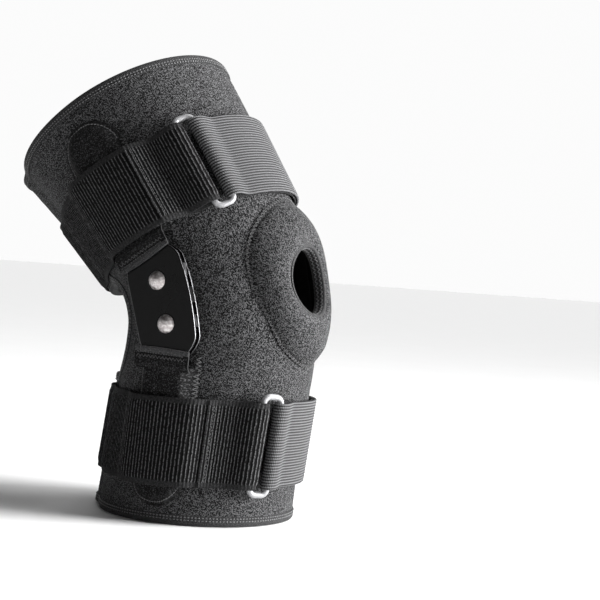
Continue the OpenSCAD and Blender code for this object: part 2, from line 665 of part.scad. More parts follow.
// ---- The inner side of the leg repeats the outer side's hardware as a mirror image ----
module lateral_outer_plate() plate(outer_face);
module lateral_inner_plate() plate(inner_face);
module lateral_upper_rivet() rivet(upper_rivet_at);
module lateral_lower_rivet() rivet(lower_rivet_at);
module lateral_washers() washers();
module lateral_extension_stop() extension_stop();
module medial_outer_plate() mirror([1, 0, 0]) plate(outer_face);
module medial_inner_plate() mirror([1, 0, 0]) plate(inner_face);
module medial_upper_rivet() mirror([1, 0, 0]) rivet(upper_rivet_at);
module medial_lower_rivet() mirror([1, 0, 0]) rivet(lower_rivet_at);
module medial_washers() mirror([1, 0, 0]) washers();
module medial_extension_stop() mirror([1, 0, 0]) extension_stop();
module calf_stay_medial() mirror([1, 0, 0]) calf_stay_lateral();
module thigh_stay_medial() mirror([1, 0, 0]) thigh_stay_lateral();
module calf_pocket_medial() mirror([1, 0, 0]) calf_pocket_lateral();
module thigh_pocket_medial() mirror([1, 0, 0]) thigh_pocket_lateral();
module calf_pocket_hem_medial() mirror([1, 0, 0]) calf_pocket_hem_lateral();
module thigh_pocket_hem_medial() mirror([1, 0, 0]) thigh_pocket_hem_lateral();

calf_wrap();
calf_wing();
calf_wrap_hook_tab();
calf_edge_binding();
calf_stay_lateral();
calf_stay_medial();
calf_pocket_lateral();
calf_pocket_medial();
calf_pocket_hem_lateral();
calf_pocket_hem_medial();
calf_strap();
calf_ring();
calf_strap_tail();
calf_strap_hook_tab();
thigh_wrap();
thigh_wing();
thigh_wrap_hook_tab();
thigh_edge_binding();
thigh_stay_lateral();
thigh_stay_medial();
thigh_pocket_lateral();
thigh_pocket_medial();
thigh_pocket_hem_lateral();
thigh_pocket_hem_medial();
thigh_strap();
thigh_ring();
thigh_strap_tail();
thigh_strap_hook_tab();
lateral_outer_plate();
lateral_inner_plate();
lateral_upper_rivet();
lateral_lower_rivet();
lateral_washers();
lateral_extension_stop();
medial_outer_plate();
medial_inner_plate();
medial_upper_rivet();
medial_lower_rivet();
medial_washers();
medial_extension_stop();
knee_panel();
patella_pad();
patella_binding();
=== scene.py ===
import math

import bmesh
import bpy
import numpy as np
from mathutils import Matrix, Vector, noise


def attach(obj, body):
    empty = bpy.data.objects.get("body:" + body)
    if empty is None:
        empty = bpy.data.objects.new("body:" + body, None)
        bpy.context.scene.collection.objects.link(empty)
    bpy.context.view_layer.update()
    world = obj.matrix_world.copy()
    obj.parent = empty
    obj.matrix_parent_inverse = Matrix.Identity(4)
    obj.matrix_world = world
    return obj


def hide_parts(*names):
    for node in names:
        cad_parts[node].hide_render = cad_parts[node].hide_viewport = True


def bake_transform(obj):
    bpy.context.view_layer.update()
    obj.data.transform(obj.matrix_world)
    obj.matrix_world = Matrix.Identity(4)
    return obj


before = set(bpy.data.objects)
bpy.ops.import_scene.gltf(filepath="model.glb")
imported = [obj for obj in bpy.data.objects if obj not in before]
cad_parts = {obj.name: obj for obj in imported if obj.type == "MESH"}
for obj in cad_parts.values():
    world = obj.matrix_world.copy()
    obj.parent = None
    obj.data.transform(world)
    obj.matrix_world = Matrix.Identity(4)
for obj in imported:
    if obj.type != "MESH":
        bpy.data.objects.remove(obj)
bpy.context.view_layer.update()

# Lengths in this script are millimetres, as in the CAD source, and become metres in new_mesh().
MM = 0.001



def add_object(name, data):
    obj = bpy.data.objects.new(name, data)
    bpy.context.scene.collection.objects.link(obj)
    return obj


# ---------------------------------------------------------------- camera
# The lens looks at the outer side of the knee from a little in front, turned so that
# the leg's middle falls left of the picture's centre.
CAMERA_AT = Vector((-0.7794, -0.4500, 0.1435))
AIM = Vector((0, 0, 0.1435))
ROLL = math.radians(4)
AIM_IN_PICTURE = Vector((-87.3, 28.3, -1500))


def make_camera():
    data = bpy.data.cameras.new("camera")
    data.lens, data.sensor_width, data.clip_end = 90, 36, 200
    cam = add_object("camera", data)
    forward = (AIM - CAMERA_AT).normalized()
    side = forward.cross(Vector((0, 0, 1))).normalized()
    up = side.cross(forward)
    x = side * math.cos(ROLL) + up * math.sin(ROLL)
    y = up * math.cos(ROLL) - side * math.sin(ROLL)
    level = Matrix((x, y, -forward)).transposed()
    turn = AIM_IN_PICTURE.normalized().rotation_difference(Vector((0, 0, -1)))
    cam.rotation_mode = "QUATERNION"
    cam.rotation_quaternion = level.to_quaternion() @ turn
    cam.location = CAMERA_AT
    bpy.context.scene.camera = cam


make_camera()

# ---------------------------------------------------------------- leg shape, as in the CAD source
CALF_LEN, THIGH_LEN, CALF_LEAN, THIGH_LEAN, BEND_R = 135.0, 122.0, 2.0, 35.0, 85.0
BEND = CALF_LEAN + THIGH_LEAN
BEND_START = CALF_LEN - BEND_R * math.tan(math.radians(BEND / 2))
BEND_END = BEND_START + BEND_R * math.radians(BEND)
LEG_LEN = BEND_END + THIGH_LEN - BEND_R * math.tan(math.radians(BEND / 2))
STATIONS = LEG_LEN * np.array([0, 0.177, 0.353, 0.51, 0.65, 0.805, 1])
SECTIONS = np.array([[58, 57, 57.5], [57, 58.5, 54], [56, 63, 50.5], [56, 63, 54],
                     [58, 64, 54.5], [61.5, 65, 61.5], [66, 64.5, 75]])
RIM_BLEND = 30.0


def along(a):
    a = np.radians(a)
    return np.stack([np.sin(a), np.cos(a)], -1)


def backward(a):
    a = np.radians(a)
    return np.stack([np.cos(a), -np.sin(a)], -1)


def clamp(x):
    return np.clip(x, 0, 1)


def smooth(x):
    t = clamp(x)
    return t * t * (3 - 2 * t)


def mix(a, b, t):
    return a + (b - a) * t


def plateau(x, start, end, ramp):
    return smooth((x - start + ramp) / ramp) * smooth((end + ramp - x) / ramp)


def lean(s):
    return -CALF_LEAN + BEND * clamp((np.asarray(s, float) - BEND_START) / (BEND_END - BEND_START))


def tilt(s):
    return lean(s) * clamp(np.asarray(s, float) / RIM_BLEND)


def centre(s):
    s = np.asarray(s, float)
    low = s[..., None] * along(-CALF_LEAN)
    start = BEND_START * along(-CALF_LEAN)
    bent = start + BEND_R * (backward(-CALF_LEAN) - backward(lean(s)))
    top = start + BEND_R * (backward(-CALF_LEAN) - backward(THIGH_LEAN))
    high = top + (s - BEND_END)[..., None] * along(THIGH_LEAN)
    return np.where((s <= BEND_START)[..., None], low, np.where((s <= BEND_END)[..., None], bent, high))


GRADES = np.array([(SECTIONS[min(i + 1, 6)] - SECTIONS[max(i - 1, 0)])
                   / (STATIONS[min(i + 1, 6)] - STATIONS[max(i - 1, 0)]) for i in range(7)])


def section(s):
    s = np.asarray(s, float)
    i = np.clip(np.searchsorted(STATIONS, s, side="right") - 1, 0, 5)
    h = (STATIONS[i + 1] - STATIONS[i])[..., None]
    t = (s - STATIONS[i])[..., None] / h
    return (SECTIONS[i] * (2 * t**3 - 3 * t**2 + 1) + GRADES[i] * h * (t**3 - 2 * t**2 + t)
            + SECTIONS[i + 1] * (3 * t**2 - 2 * t**3) + GRADES[i + 1] * h * (t**3 - t**2))


def skin(angle, s, lift=0.0):
    """A point on the sleeve: angle from the front towards the outer side, place along the leg, lift."""
    angle, s, lift = np.broadcast_arrays(np.asarray(angle, float), np.asarray(s, float), lift)
    a, w, c, t = np.radians(angle), section(s), centre(s), np.radians(tilt(s))
    f = (np.where(np.cos(a) > 0, w[..., 1], w[..., 2]) + lift) * np.cos(a)
    x = -(w[..., 0] + lift) * np.sin(a)
    return np.stack([x, c[..., 0] - f * np.cos(t), c[..., 1] + f * np.sin(t)], -1)


def side_angle(forward, s):
    w = section(s)
    return np.degrees(np.arccos(forward / np.where(np.asarray(forward) > 0, w[..., 1], w[..., 2])))


def fraction(n):
    """The ends of n even steps from 0 to 1."""
    return np.arange(1, n + 1) / n


def unit(v):
    return v / np.linalg.norm(v, axis=-1, keepdims=True)


def every_other(count, size=1.0):
    """size and -size by turns, for zigzag stitches."""
    return np.where(np.arange(count) % 2 == 0, size, -size)


def summed(steps):
    """Places along a line from the steps between them, starting at 0."""
    return np.concatenate([[0], np.cumsum(steps)])


def run_along(p):
    """The distance run along a line of points, at each of them."""
    return summed(np.linalg.norm(np.diff(p, axis=0), axis=1))


# ---------------------------------------------------------------- mesh helpers
def new_mesh(name, verts, faces, uv, mats, face_mat=None, sharp=40):
    """A mesh object from millimetre points. uv has one row per vertex, in metres."""
    me = bpy.data.meshes.new(name)
    me.from_pydata((np.asarray(verts) * MM).tolist(), [], [tuple(f) for f in faces])
    layer = me.uv_layers.new(name="weave")
    loops = np.zeros(len(me.loops), int)
    me.loops.foreach_get("vertex_index", loops)
    layer.data.foreach_set("uv", np.asarray(uv, np.float32)[loops].ravel())
    for m in mats:
        me.materials.append(m)
    if face_mat is not None:
        me.polygons.foreach_set("material_index", np.asarray(face_mat, np.int32))
    me.polygons.foreach_set("use_smooth", [True] * len(me.polygons))
    bm = bmesh.new()
    bm.from_mesh(me)
    bmesh.ops.recalc_face_normals(bm, faces=bm.faces)
    bm.to_mesh(me)
    bm.free()
    me.set_sharp_from_angle(angle=math.radians(sharp))
    me.update()
    return add_object(name, me)


def tube_faces(rings, n, start=0, closed=False):
    """Quads between rings of n points each. A closed tube also joins its last ring to its first."""
    faces = []
    for k in range(rings if closed else rings - 1):
        a, b = start + k * n, start + (k + 1) % rings * n
        faces += [(a + q, a + (q + 1) % n, b + (q + 1) % n, b + q) for q in range(n)]
    return faces


def picked(verts, faces):
    """The vertices that some faces use, by number, and the faces renumbered to them."""
    used = np.unique(np.array([v for f in faces for v in f]))
    remap = np.full(len(verts), -1)
    remap[used] = np.arange(len(used))
    return used, [tuple(int(remap[v]) for v in f) for f in faces]


def thick_sheet(name, outer, inner, uv, mats, keep=None, wrap=False, sharp=50):
    """A closed shell between two grids of points. keep leaves out some of the grid's faces.
    mats are the outer, the inner and, if there is a third, the edge material."""
    m, n = outer.shape[:2]
    rows = m if wrap else m - 1
    if keep is None:
        keep = np.ones((rows, n - 1), bool)
    half = m * n

    def at(i, j):
        return (i % m) * n + j

    faces, kinds = [], []
    edge_mat = min(2, len(mats) - 1)
    for i, j in np.argwhere(keep):
        a, b, c, d = at(i, j), at(i + 1, j), at(i + 1, j + 1), at(i, j + 1)
        faces += [(a, b, c, d), (half + d, half + c, half + b, half + a)]
        kinds += [0, min(1, len(mats) - 1)]
    for i in range(rows):
        for j in range(n):
            left = keep[i, j - 1] if j > 0 else False
            right = keep[i, j] if j < n - 1 else False
            if left != right:
                a, b = at(i, j), at(i + 1, j)
                faces.append((a, b, half + b, half + a))
                kinds.append(edge_mat)
    for i in range(m):
        for j in range(n - 1):
            below = keep[(i - 1) % rows, j] if (wrap or i > 0) else False
            above = keep[i % rows, j] if (wrap or i < rows) else False
            if below != above:
                a, b = at(i, j), at(i, j + 1)
                faces.append((a, b, half + b, half + a))
                kinds.append(edge_mat)
    verts = np.concatenate([outer.reshape(-1, 3), inner.reshape(-1, 3)])
    uvs = np.concatenate([uv.reshape(-1, 2)] * 2) * MM
    used, faces = picked(verts, faces)
    return new_mesh(name, verts[used], faces, uvs[used], mats, kinds, sharp)


def spread(a, b, n):
    """n + 1 places from a to b, closer together near both ends."""
    return a + (b - a) * (1 - np.cos(np.pi * np.arange(n + 1) / n)) / 2


def flesh(p, size, amount, seed=0.0):
    """Small soft unevenness of stretched fabric, as a lift for each point."""
    flat = p.reshape(-1, 3)
    vals = [noise.noise(Vector((x / size + seed, y / size, z / size))) for x, y, z in flat]
    return (np.array(vals) * amount).reshape(p.shape[:-1])


# Ribs across the straps' pile and ridges along the webbing
RIB_PITCH, RIB_H, RIDGE_PITCH, RIDGE_H = 2.0, 0.30, 1.65, 0.18


# ---------------------------------------------------------------- materials
class Look:
    """Builds one procedural material. Coordinates come from the weave UV map, in millimetres."""

    def __init__(self, name, rough=0.8, metal=0.0, **fixed):
        self.mat = bpy.data.materials.new(name)
        self.mat.use_nodes = True
        self.t = self.mat.node_tree
        self.bsdf = self.t.nodes["Principled BSDF"]
        self.bsdf.inputs["Roughness"].default_value = rough
        self.bsdf.inputs["Metallic"].default_value = metal
        for key, value in fixed.items():
            self.bsdf.inputs[key.replace("_", " ")].default_value = value

    def node(self, kind, **props):
        n = self.t.nodes.new("ShaderNode" + kind)
        for key, value in props.items():
            setattr(n, key, value)
        return n

    def put(self, socket, value):
        if isinstance(value, bpy.types.NodeSocket):
            self.t.links.new(value, socket)
        elif value is not None:
            socket.default_value = value

    def math(self, op, a, b=None, c=None):
        n = self.node("Math", operation=op)
        for socket, value in zip(n.inputs, (a, b, c)):
            self.put(socket, value)
        return n.outputs[0]

    def uv(self, sx=1.0, sy=1.0):
        """The weave map in millimetres, stretched."""
        source = self.node("UVMap", uv_map="weave")
        scale = self.node("VectorMath", operation="MULTIPLY")
        self.put(scale.inputs[0], source.outputs[0])
        self.put(scale.inputs[1], (1000 * sx, 1000 * sy, 1000))
        return scale.outputs[0]

    def place(self, stretch=(1000, 1000, 1000)):
        """The point's own place in millimetres, for pieces without a weave map."""
        source = self.node("TexCoord")
        scale = self.node("VectorMath", operation="MULTIPLY")
        self.put(scale.inputs[0], source.outputs["Object"])
        self.put(scale.inputs[1], stretch)
        return scale.outputs[0]

    def axis(self, vector, name):
        split = self.node("SeparateXYZ")
        self.put(split.inputs[0], vector)
        return split.outputs[name]

    def noise(self, vector, scale, detail=2.0, rough=0.5):
        n = self.node("TexNoise")
        self.put(n.inputs["Vector"], vector)
        n.inputs["Scale"].default_value = scale
        n.inputs["Detail"].default_value = detail
        n.inputs["Roughness"].default_value = rough
        return n.outputs["Fac"]

    def wave(self, value, period, low=0.0, high=1.0):
        """A cosine of a coordinate with the period given in millimetres."""
        turn = self.math("MULTIPLY", value, 2 * math.pi / period)
        return self.math("MULTIPLY_ADD", self.math("COSINE", turn), (high - low) / 2, (high + low) / 2)

    def ramp(self, value, low, high, start=0.0, end=1.0):
        n = self.node("MapRange", interpolation_type="SMOOTHSTEP")
        keys = ("Value", "From Min", "From Max", "To Min", "To Max")
        for key, v in zip(keys, (value, low, high, start, end)):
            self.put(n.inputs[key], v)
        return n.outputs[0]

    def colour(self, fac, a, b):
        n = self.node("Mix", data_type="RGBA")
        self.put(n.inputs["Factor"], fac)
        self.put(n.inputs["A"], a if isinstance(a, bpy.types.NodeSocket) else (*a, 1))
        self.put(n.inputs["B"], b if isinstance(b, bpy.types.NodeSocket) else (*b, 1))
        return n.outputs["Result"]

    def finish(self, colour=None, rough=None, height=None, distance=0.1, strength=1.0):
        self.put(self.bsdf.inputs["Base Color"], colour if not isinstance(colour, tuple) else (*colour, 1))
        if rough is not None:
            self.put(self.bsdf.inputs["Roughness"], rough)
        if height is not None:
            bump = self.node("Bump")
            bump.inputs["Strength"].default_value = strength
            bump.inputs["Distance"].default_value = distance * MM
            self.put(bump.inputs["Height"], height)
            self.put(self.bsdf.inputs["Normal"], bump.outputs[0])
        return self.mat


def grey(v):
    return (v, v, v * 1.03)


def knit(name, dark, light, grain=1.5, lo=0.47, hi=0.63):
    """Brushed stretch knit: charcoal ground with fine light fibres."""
    k = Look(name, 0.9, Sheen_Weight=0.02, Sheen_Roughness=0.5, Specular_IOR_Level=0.1)
    uv = k.uv()
    fine = k.noise(uv, grain, 2.5, 0.62)
    cells = k.node("TexVoronoi")
    k.put(cells.inputs["Vector"], uv)
    cells.inputs["Scale"].default_value = grain * 1.25
    fibre = k.axis(cells.outputs["Color"], "X")
    broad = k.noise(uv, 0.035, 2)
    wale = k.wave(k.axis(uv, "X"), 1.15)
    course = k.wave(k.axis(uv, "Y"), 0.95)
    speck = k.ramp(k.math("MULTIPLY_ADD", fibre, 0.32, k.math("MULTIPLY", fine, 0.68)), lo, hi)
    base = k.colour(k.ramp(broad, 0.3, 0.7), grey(dark * 0.8), grey(dark * 1.25))
    colour = k.colour(speck, base, grey(light))
    height = k.math("MULTIPLY_ADD", k.math("MULTIPLY", wale, course), 0.35, fine)
    return k.finish(colour, k.ramp(fine, 0.2, 0.8, 0.95, 0.8), height, 0.32, 0.75)


def lining_look():
    k = Look("nylon_lining", 0.9, Specular_IOR_Level=0.05)
    uv = k.uv()
    cross = k.math("MULTIPLY", k.wave(k.axis(uv, "X"), 0.9), k.wave(k.axis(uv, "Y"), 0.9))
    colour = k.colour(k.ramp(k.noise(uv, 0.6), 0.3, 0.7), grey(0.0008), grey(0.002))
    return k.finish(colour, None, cross, 0.08, 0.5)


def binding_look():
    k = Look("binding_tape", 0.8, Sheen_Weight=0.03, Sheen_Roughness=0.4, Specular_IOR_Level=0.15)
    uv = k.uv()
    rib = k.wave(k.math("ADD", k.axis(uv, "X"), k.math("MULTIPLY", k.axis(uv, "Y"), 0.35)), 1.0)
    fine = k.noise(uv, 1.6, 2)
    colour = k.colour(k.ramp(fine, 0.35, 0.7), grey(0.007), grey(0.045))
    return k.finish(colour, None, k.math("MULTIPLY_ADD", rib, 0.6, fine), 0.2, 0.7)


def hem_look():
    k = Look("hem_tape", 0.75, Sheen_Weight=0.03, Sheen_Roughness=0.4, Specular_IOR_Level=0.15)
    uv = k.uv()
    rib = k.wave(k.axis(uv, "X"), 0.85)
    fine = k.noise(uv, 1.2, 2)
    colour = k.colour(k.math("MULTIPLY", rib, k.ramp(fine, 0.25, 0.7)), grey(0.012), grey(0.11))
    return k.finish(colour, None, k.math("MULTIPLY_ADD", rib, 0.7, fine), 0.25, 0.8)


def strap_look():
    """Loop-pile face: rows of loops across the band, the rows' crests coloured lighter as a painted highlight
    broken up by the loops' own grain, and flat woven selvages.
    """
    k = Look("strap_pile", 0.9, Specular_IOR_Level=0.1)
    uv = k.uv()
    x, y = k.axis(uv, "X"), k.axis(uv, "Y")
    wobble = k.math("MULTIPLY", k.math("SUBTRACT", k.noise(uv, 0.35, 2), 0.5), 0.9)
    rows = k.wave(k.math("ADD", x, wobble), RIB_PITCH)
    loops = k.noise(k.uv(0.9, 1.0), 1.0, 2.5, 0.65)
    # Painted highlight: the crests of the rows of loops are coloured lighter than the dark pile between them
    painted_crest_highlight = k.ramp(k.math("MULTIPLY", k.math("POWER", rows, 1.6), loops), 0.30, 0.52)
    pile = k.colour(painted_crest_highlight, grey(0.0015), grey(0.075))
    twill = k.wave(k.math("ADD", x, y), 0.9)
    selvage = k.colour(k.math("MULTIPLY", twill, k.ramp(loops, 0.3, 0.7)), grey(0.008), grey(0.04))
    edge = k.ramp(k.math("ABSOLUTE", k.math("SUBTRACT", y, 25.0)), 21.4, 22.4)
    height = k.math("MULTIPLY", loops, k.math("ADD", rows, 0.4))
    return k.finish(k.colour(edge, pile, selvage), None, height, 0.5, 0.9)


def webbing_look():
    """Woven inner face: ribs along the band, each a row of short floats. The ribs' crests and the floats are
    painted lighter and the grooves between the ribs darker: painted highlight and shade.
    """
    k = Look("webbing_inner", 0.75, Specular_IOR_Level=0.2)
    uv = k.uv()
    x, y = k.axis(uv, "X"), k.axis(uv, "Y")
    rib = k.wave(y, RIDGE_PITCH)
    step = k.math("MULTIPLY", k.math("FLOOR", k.math("MULTIPLY_ADD", y, 1 / RIDGE_PITCH, 0.25)), 0.55)
    floats = k.wave(k.math("ADD", x, step), 1.15)
    grain = k.noise(k.uv(0.9, 1.4), 1.1, 2.5, 0.6)
    woven = k.math("MULTIPLY", k.math("MULTIPLY", floats, grain), 0.6)
    # Painted highlight on the ribs' crests and on the floats, painted shade in the grooves between the ribs
    painted_crest_light = k.ramp(k.math("ADD", k.math("MULTIPLY", rib, 0.62), woven), 0.18, 0.72)
    colour = k.colour(painted_crest_light, grey(0.006), grey(0.10))
    height = k.math("MULTIPLY", rib, k.math("MULTIPLY_ADD", floats, 0.5, 0.5))
    return k.finish(colour, None, height, 0.35, 0.9)


def hook_look():
    """Hook tape: stiff rows of tiny hooks on a woven ground."""
    k = Look("hook_tape", 0.6)
    uv = k.uv()
    cell = k.node("TexVoronoi")
    k.put(cell.inputs["Vector"], uv)
    cell.inputs["Scale"].default_value = 0.75
    cell.inputs["Randomness"].default_value = 0.35
    dots = k.ramp(cell.outputs["Distance"], 0.15, 0.5, 1.0, 0.0)
    grain = k.noise(uv, 1.5, 2)
    colour = k.colour(k.math("MULTIPLY", dots, grain), grey(0.05), grey(0.2))
    return k.finish(colour, k.ramp(grain, 0.2, 0.8, 0.5, 0.75), dots, 0.5, 0.9)


def grained(name, rough, metal, tint, wear, relief, stretch=(1000, 1000, 1000), **fixed):
    """A look from three noises: tint is (noise, low, high, dark, light), wear is (noise, low, high, and
    the roughness from and to) or None, relief is (noise, depth, strength). None in a noise's place
    takes the tint's."""
    k = Look(name, rough, metal, **fixed)
    p = k.place(stretch)
    first = k.noise(p, *tint[0])
    low, high, dark, light = tint[1:]
    colour = k.colour(k.ramp(first, low, high), dark, light)
    gloss = None
    if wear:
        gloss = k.ramp(k.noise(p, *wear[0]) if wear[0] else first, *wear[1:])
    bumps = k.noise(p, *relief[0]) if relief[0] else first
    return k.finish(colour, gloss, bumps, *relief[1:])


def thread_look(name, dark, light):
    return grained(name, 0.6, 0.0, ((2.2, 2), 0.3, 0.7, grey(dark), grey(light)), None, (None, 0.1, 0.6),
                   Sheen_Weight=0.3, Sheen_Roughness=0.4)


def washer_look():
    k = Look("washer_nylon", 0.45, Subsurface_Weight=0.1)
    grain = k.noise(k.place(), 1.5, 2)
    rough = k.ramp(grain, 0.2, 0.8, 0.4, 0.55)
    return k.finish(k.colour(grain, grey(0.5), grey(0.62)), rough, grain, 0.02, 0.4)


def floor_look():
    k = Look("pale_floor", 0.6)
    p = k.place()
    colour = k.colour(k.noise(p, 0.01, 2), (0.86, 0.86, 0.86), (0.89, 0.89, 0.89))
    return k.finish(colour, None, k.noise(p, 0.2, 2), 0.05, 0.2)


KNIT = knit("heather_knit", 0.003, 0.092, 1.75)
POCKET = knit("pocket_knit", 0.0025, 0.05, 1.5, 0.50, 0.74)
LINING = lining_look()
BINDING = binding_look()
HEM = hem_look()
PILE = strap_look()
WEBBING = webbing_look()
HOOK = hook_look()
RING = grained("satin_ring", 0.4, 0.3, ((0.12, 2), 0.35, 0.7, grey(0.23), grey(0.31)),
               ((0.9, 3), 0.2, 0.8, 0.34, 0.5), ((0.9, 3), 0.03, 0.5), Coat_Weight=0.15, Coat_Roughness=0.3)
# Gloss black coating with faint wipe marks and dust
PLATE = grained("plate_gloss", 0.2, 0.0, ((1.8, 3, 0.6), 0.62, 0.8, grey(0.003), grey(0.006)),
                ((0.05, 3), 0.3, 0.75, 0.16, 0.3), ((0.25, 2), 0.01, 0.25), Specular_IOR_Level=0.14)
PLATE_RIM = grained("plate_rim", 0.3, 1.0, ((1.2, 3), 0.3, 0.75, grey(0.09), grey(0.2)),
                    (None, 0.2, 0.8, 0.34, 0.5), (None, 0.03, 0.5))
# Domed heads: the colour is mottled with dark pinkish blotches, a painted reflection of the surroundings
STEEL = grained("rivet_steel", 0.1, 1.0, ((0.7, 3), 0.35, 0.75, (0.42, 0.38, 0.38), (0.8, 0.78, 0.77)),
                (None, 0.3, 0.8, 0.42, 0.6), ((0.32, 1), 0.35, 1.0))
# Brushed along the stay
STAY = grained("stay_metal", 0.35, 1.0, ((1.4, 3), 0.3, 0.7, grey(0.03), grey(0.06)),
               (None, 0.2, 0.8, 0.35, 0.5), (None, 0.02, 0.5), (1000, 1000, 60))
WASHER = washer_look()
THREAD = thread_look("thread_dark", 0.02, 0.075)
THREAD_PALE = thread_look("thread_pale", 0.03, 0.12)

# ---------------------------------------------------------------- fabric that crosses the knee
# One joint at a time can bend a piece, so fabric that crosses the knee is made as a lower and an upper piece
# that meet at a flat seam across the leg. Each piece is only baked in place here.
SEAM_S = 126.0
SEAM_AT = np.array([0.0, *centre(SEAM_S)])
SEAM_DIR = np.array([0.0, *along(lean(SEAM_S))])


def follow_lower(obj):
    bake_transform(obj)


def follow_upper(obj):
    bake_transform(obj)


FOLLOW = {"lower": follow_lower, "upper": follow_upper}


def finish_piece(obj, half=None, body=None, replaced=()):
    if half:
        FOLLOW[half](obj)
    else:
        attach(obj, body)
    if replaced:
        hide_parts(*replaced)
    return obj


# ---------------------------------------------------------------- sleeve
FABRIC_T, WING_T, WING_LIFT = 3.5, 2.8, 2.1
OUTER_FLAP, WING_RAMP = 150.0, 14.8
RIM_S = 1.2            # the binding stands this far past the fabric
WEAVE_R = 60.0
NOTCH_FROM, NOTCH_TO = 77.0, 162.0
FLAP_ROOT, WING_TIP, INNER_TIP, NOTCH_ANGLE = 156.0, 224.0, 195.0, 126.0
PATELLA_R, PATELLA_S = 20.0, 128.0
PATELLA_AT = skin(0, PATELLA_S)
PATELLA_LEAN = math.radians(float(lean(PATELLA_S)))
PATELLA_OUT = np.array([0.0, -math.cos(PATELLA_LEAN), math.sin(PATELLA_LEAN)])
PATELLA_UP = np.array([0.0, PATELLA_OUT[2], -PATELLA_OUT[1]])


def rounded(t, n):
    return np.power(np.maximum(1 - np.power(np.abs(np.clip(t, -1, 1)), n), 0), 1 / n)


def edge_angle(s, side):
    """How far round the leg the fabric reaches, on the outer side (1) with its wing or on the inner (-1)."""
    tip, power = (WING_TIP, 2.3) if side > 0 else (INNER_TIP, 3.0)

    def lobe(start, end, reach, n):
        return FLAP_ROOT + reach * rounded((s - (start + end) / 2) / ((end - start) / 2), n)

    calf = lobe(RIM_S, NOTCH_FROM, tip - FLAP_ROOT, power)
    thigh = lobe(NOTCH_TO, LEG_LEN - RIM_S, tip - FLAP_ROOT, power)
    notch = lobe(NOTCH_FROM, NOTCH_TO, NOTCH_ANGLE - FLAP_ROOT, 2.2)
    return np.where(s < NOTCH_FROM, calf, np.where(s > NOTCH_TO, thigh, notch))


def outer_lift(angle):
    return mix(0, WING_LIFT + WING_T, smooth((angle - OUTER_FLAP) / WING_RAMP))


def inner_lift(angle):
    return mix(-FABRIC_T, WING_LIFT, smooth((angle - OUTER_FLAP) / WING_RAMP))


def arc_along(angle):
    """Distance round the leg from the front, for the weave, as if the leg were a cylinder."""
    return np.radians(angle) * WEAVE_R


FRONT_HALF = 118       # columns of faces are even up to here on both sides, then follow the fabric's edges
FRONT_Y = -20          # the opening is cut only in what lies in front of this
HOLE_CUT, HOLE_NEAR, HOLE_R = PATELLA_R + 2.6, PATELLA_R + 3.4, PATELLA_R + 3.2


def about_opening(p):
    """A point's step along the opening's axis from its middle, and its step off that axis."""
    rel = p - PATELLA_AT
    h = (rel @ PATELLA_OUT)[..., None] * PATELLA_OUT
    return h, rel - h


def sleeve():
    rows = np.unique(np.concatenate([
        spread(RIM_S, NOTCH_FROM, 34), NOTCH_FROM + 0.01 + spread(0, NOTCH_TO - NOTCH_FROM - 0.02, 48),
        spread(NOTCH_TO, LEG_LEN - RIM_S, 42), [SEAM_S]]))
    rows = rows[(np.abs(rows - SEAM_S) > 0.6) | (rows == SEAM_S)]
    front = np.repeat(np.arange(-FRONT_HALF, FRONT_HALF + 0.1, 2.0)[:, None], len(rows), 1)
    inner_back = mix(-FRONT_HALF, -edge_angle(rows, -1)[None, :], fraction(32)[::-1, None])
    outer_back = mix(FRONT_HALF, edge_angle(rows, 1)[None, :], fraction(44)[:, None])
    angle = np.concatenate([inner_back, front, outer_back])
    s = np.broadcast_to(rows[None, :], angle.shape)
    bare = skin(angle, s)
    relief = flesh(bare, 26.0, 0.5) + flesh(bare, 9.0, 0.16, 7.3)
    outer, inner = skin(angle, s, outer_lift(angle) + relief), skin(angle, s, inner_lift(angle) + relief)
    mid = (bare[:-1, :-1] + bare[1:, 1:]) / 2
    _, off = about_opening(mid)
    keep = ~((np.linalg.norm(off, axis=-1) < HOLE_CUT) & (mid[..., 1] < FRONT_Y))
    # The cut's stepped edge is drawn out to a true circle
    for grid in (outer, inner):
        h, off = about_opening(grid)
        r = np.linalg.norm(off, axis=-1, keepdims=True)
        near = (r < HOLE_NEAR) & (grid[..., 1:2] < FRONT_Y) & (r > 1)
        grid[:] = np.where(near, PATELLA_AT + h + off / np.maximum(r, 1) * HOLE_R, grid)
    uv = np.stack([arc_along(angle), s], -1)
    cut = int(np.argmin(np.abs(rows - SEAM_S)))
    for half, lo, hi, nodes in (("lower", 0, cut, ("calf_wrap", "calf_wing", "knee_panel")),
                                ("upper", cut, len(rows) - 1, ("thigh_wrap", "thigh_wing"))):
        obj = thick_sheet("sleeve_" + half, outer[:, lo:hi + 1], inner[:, lo:hi + 1], uv[:, lo:hi + 1],
                          [KNIT, LINING, LINING], keep[:, lo:hi])
        finish_piece(obj, half=half, replaced=nodes)


# ---------------------------------------------------------------- sewing
def step_left(angle, s, tangent):
    """The step in (angle, s) worth one millimetre to the left of a line that runs along the tangents."""
    ja = (skin(angle + 0.25, s) - skin(angle - 0.25, s)) * 2
    js = skin(angle, s + 0.5) - skin(angle, s - 0.5)
    left = np.cross(unit(np.cross(ja, js)), unit(tangent))
    aa, bb, ab = (ja * ja).sum(-1), (js * js).sum(-1), (ja * js).sum(-1)
    va, vb = (left * ja).sum(-1), (left * js).sum(-1)
    det = aa * bb - ab * ab
    return (va * bb - vb * ab) / det, (vb * aa - va * ab) / det


def even_line(angle, s, step):
    """The same line of points with even spacing in millimetres."""
    d = run_along(skin(angle, s, outer_lift(angle)))
    at = np.linspace(0, d[-1], max(int(round(d[-1] / step)), 2) + 1)
    return np.interp(at, d, angle), np.interp(at, d, s)


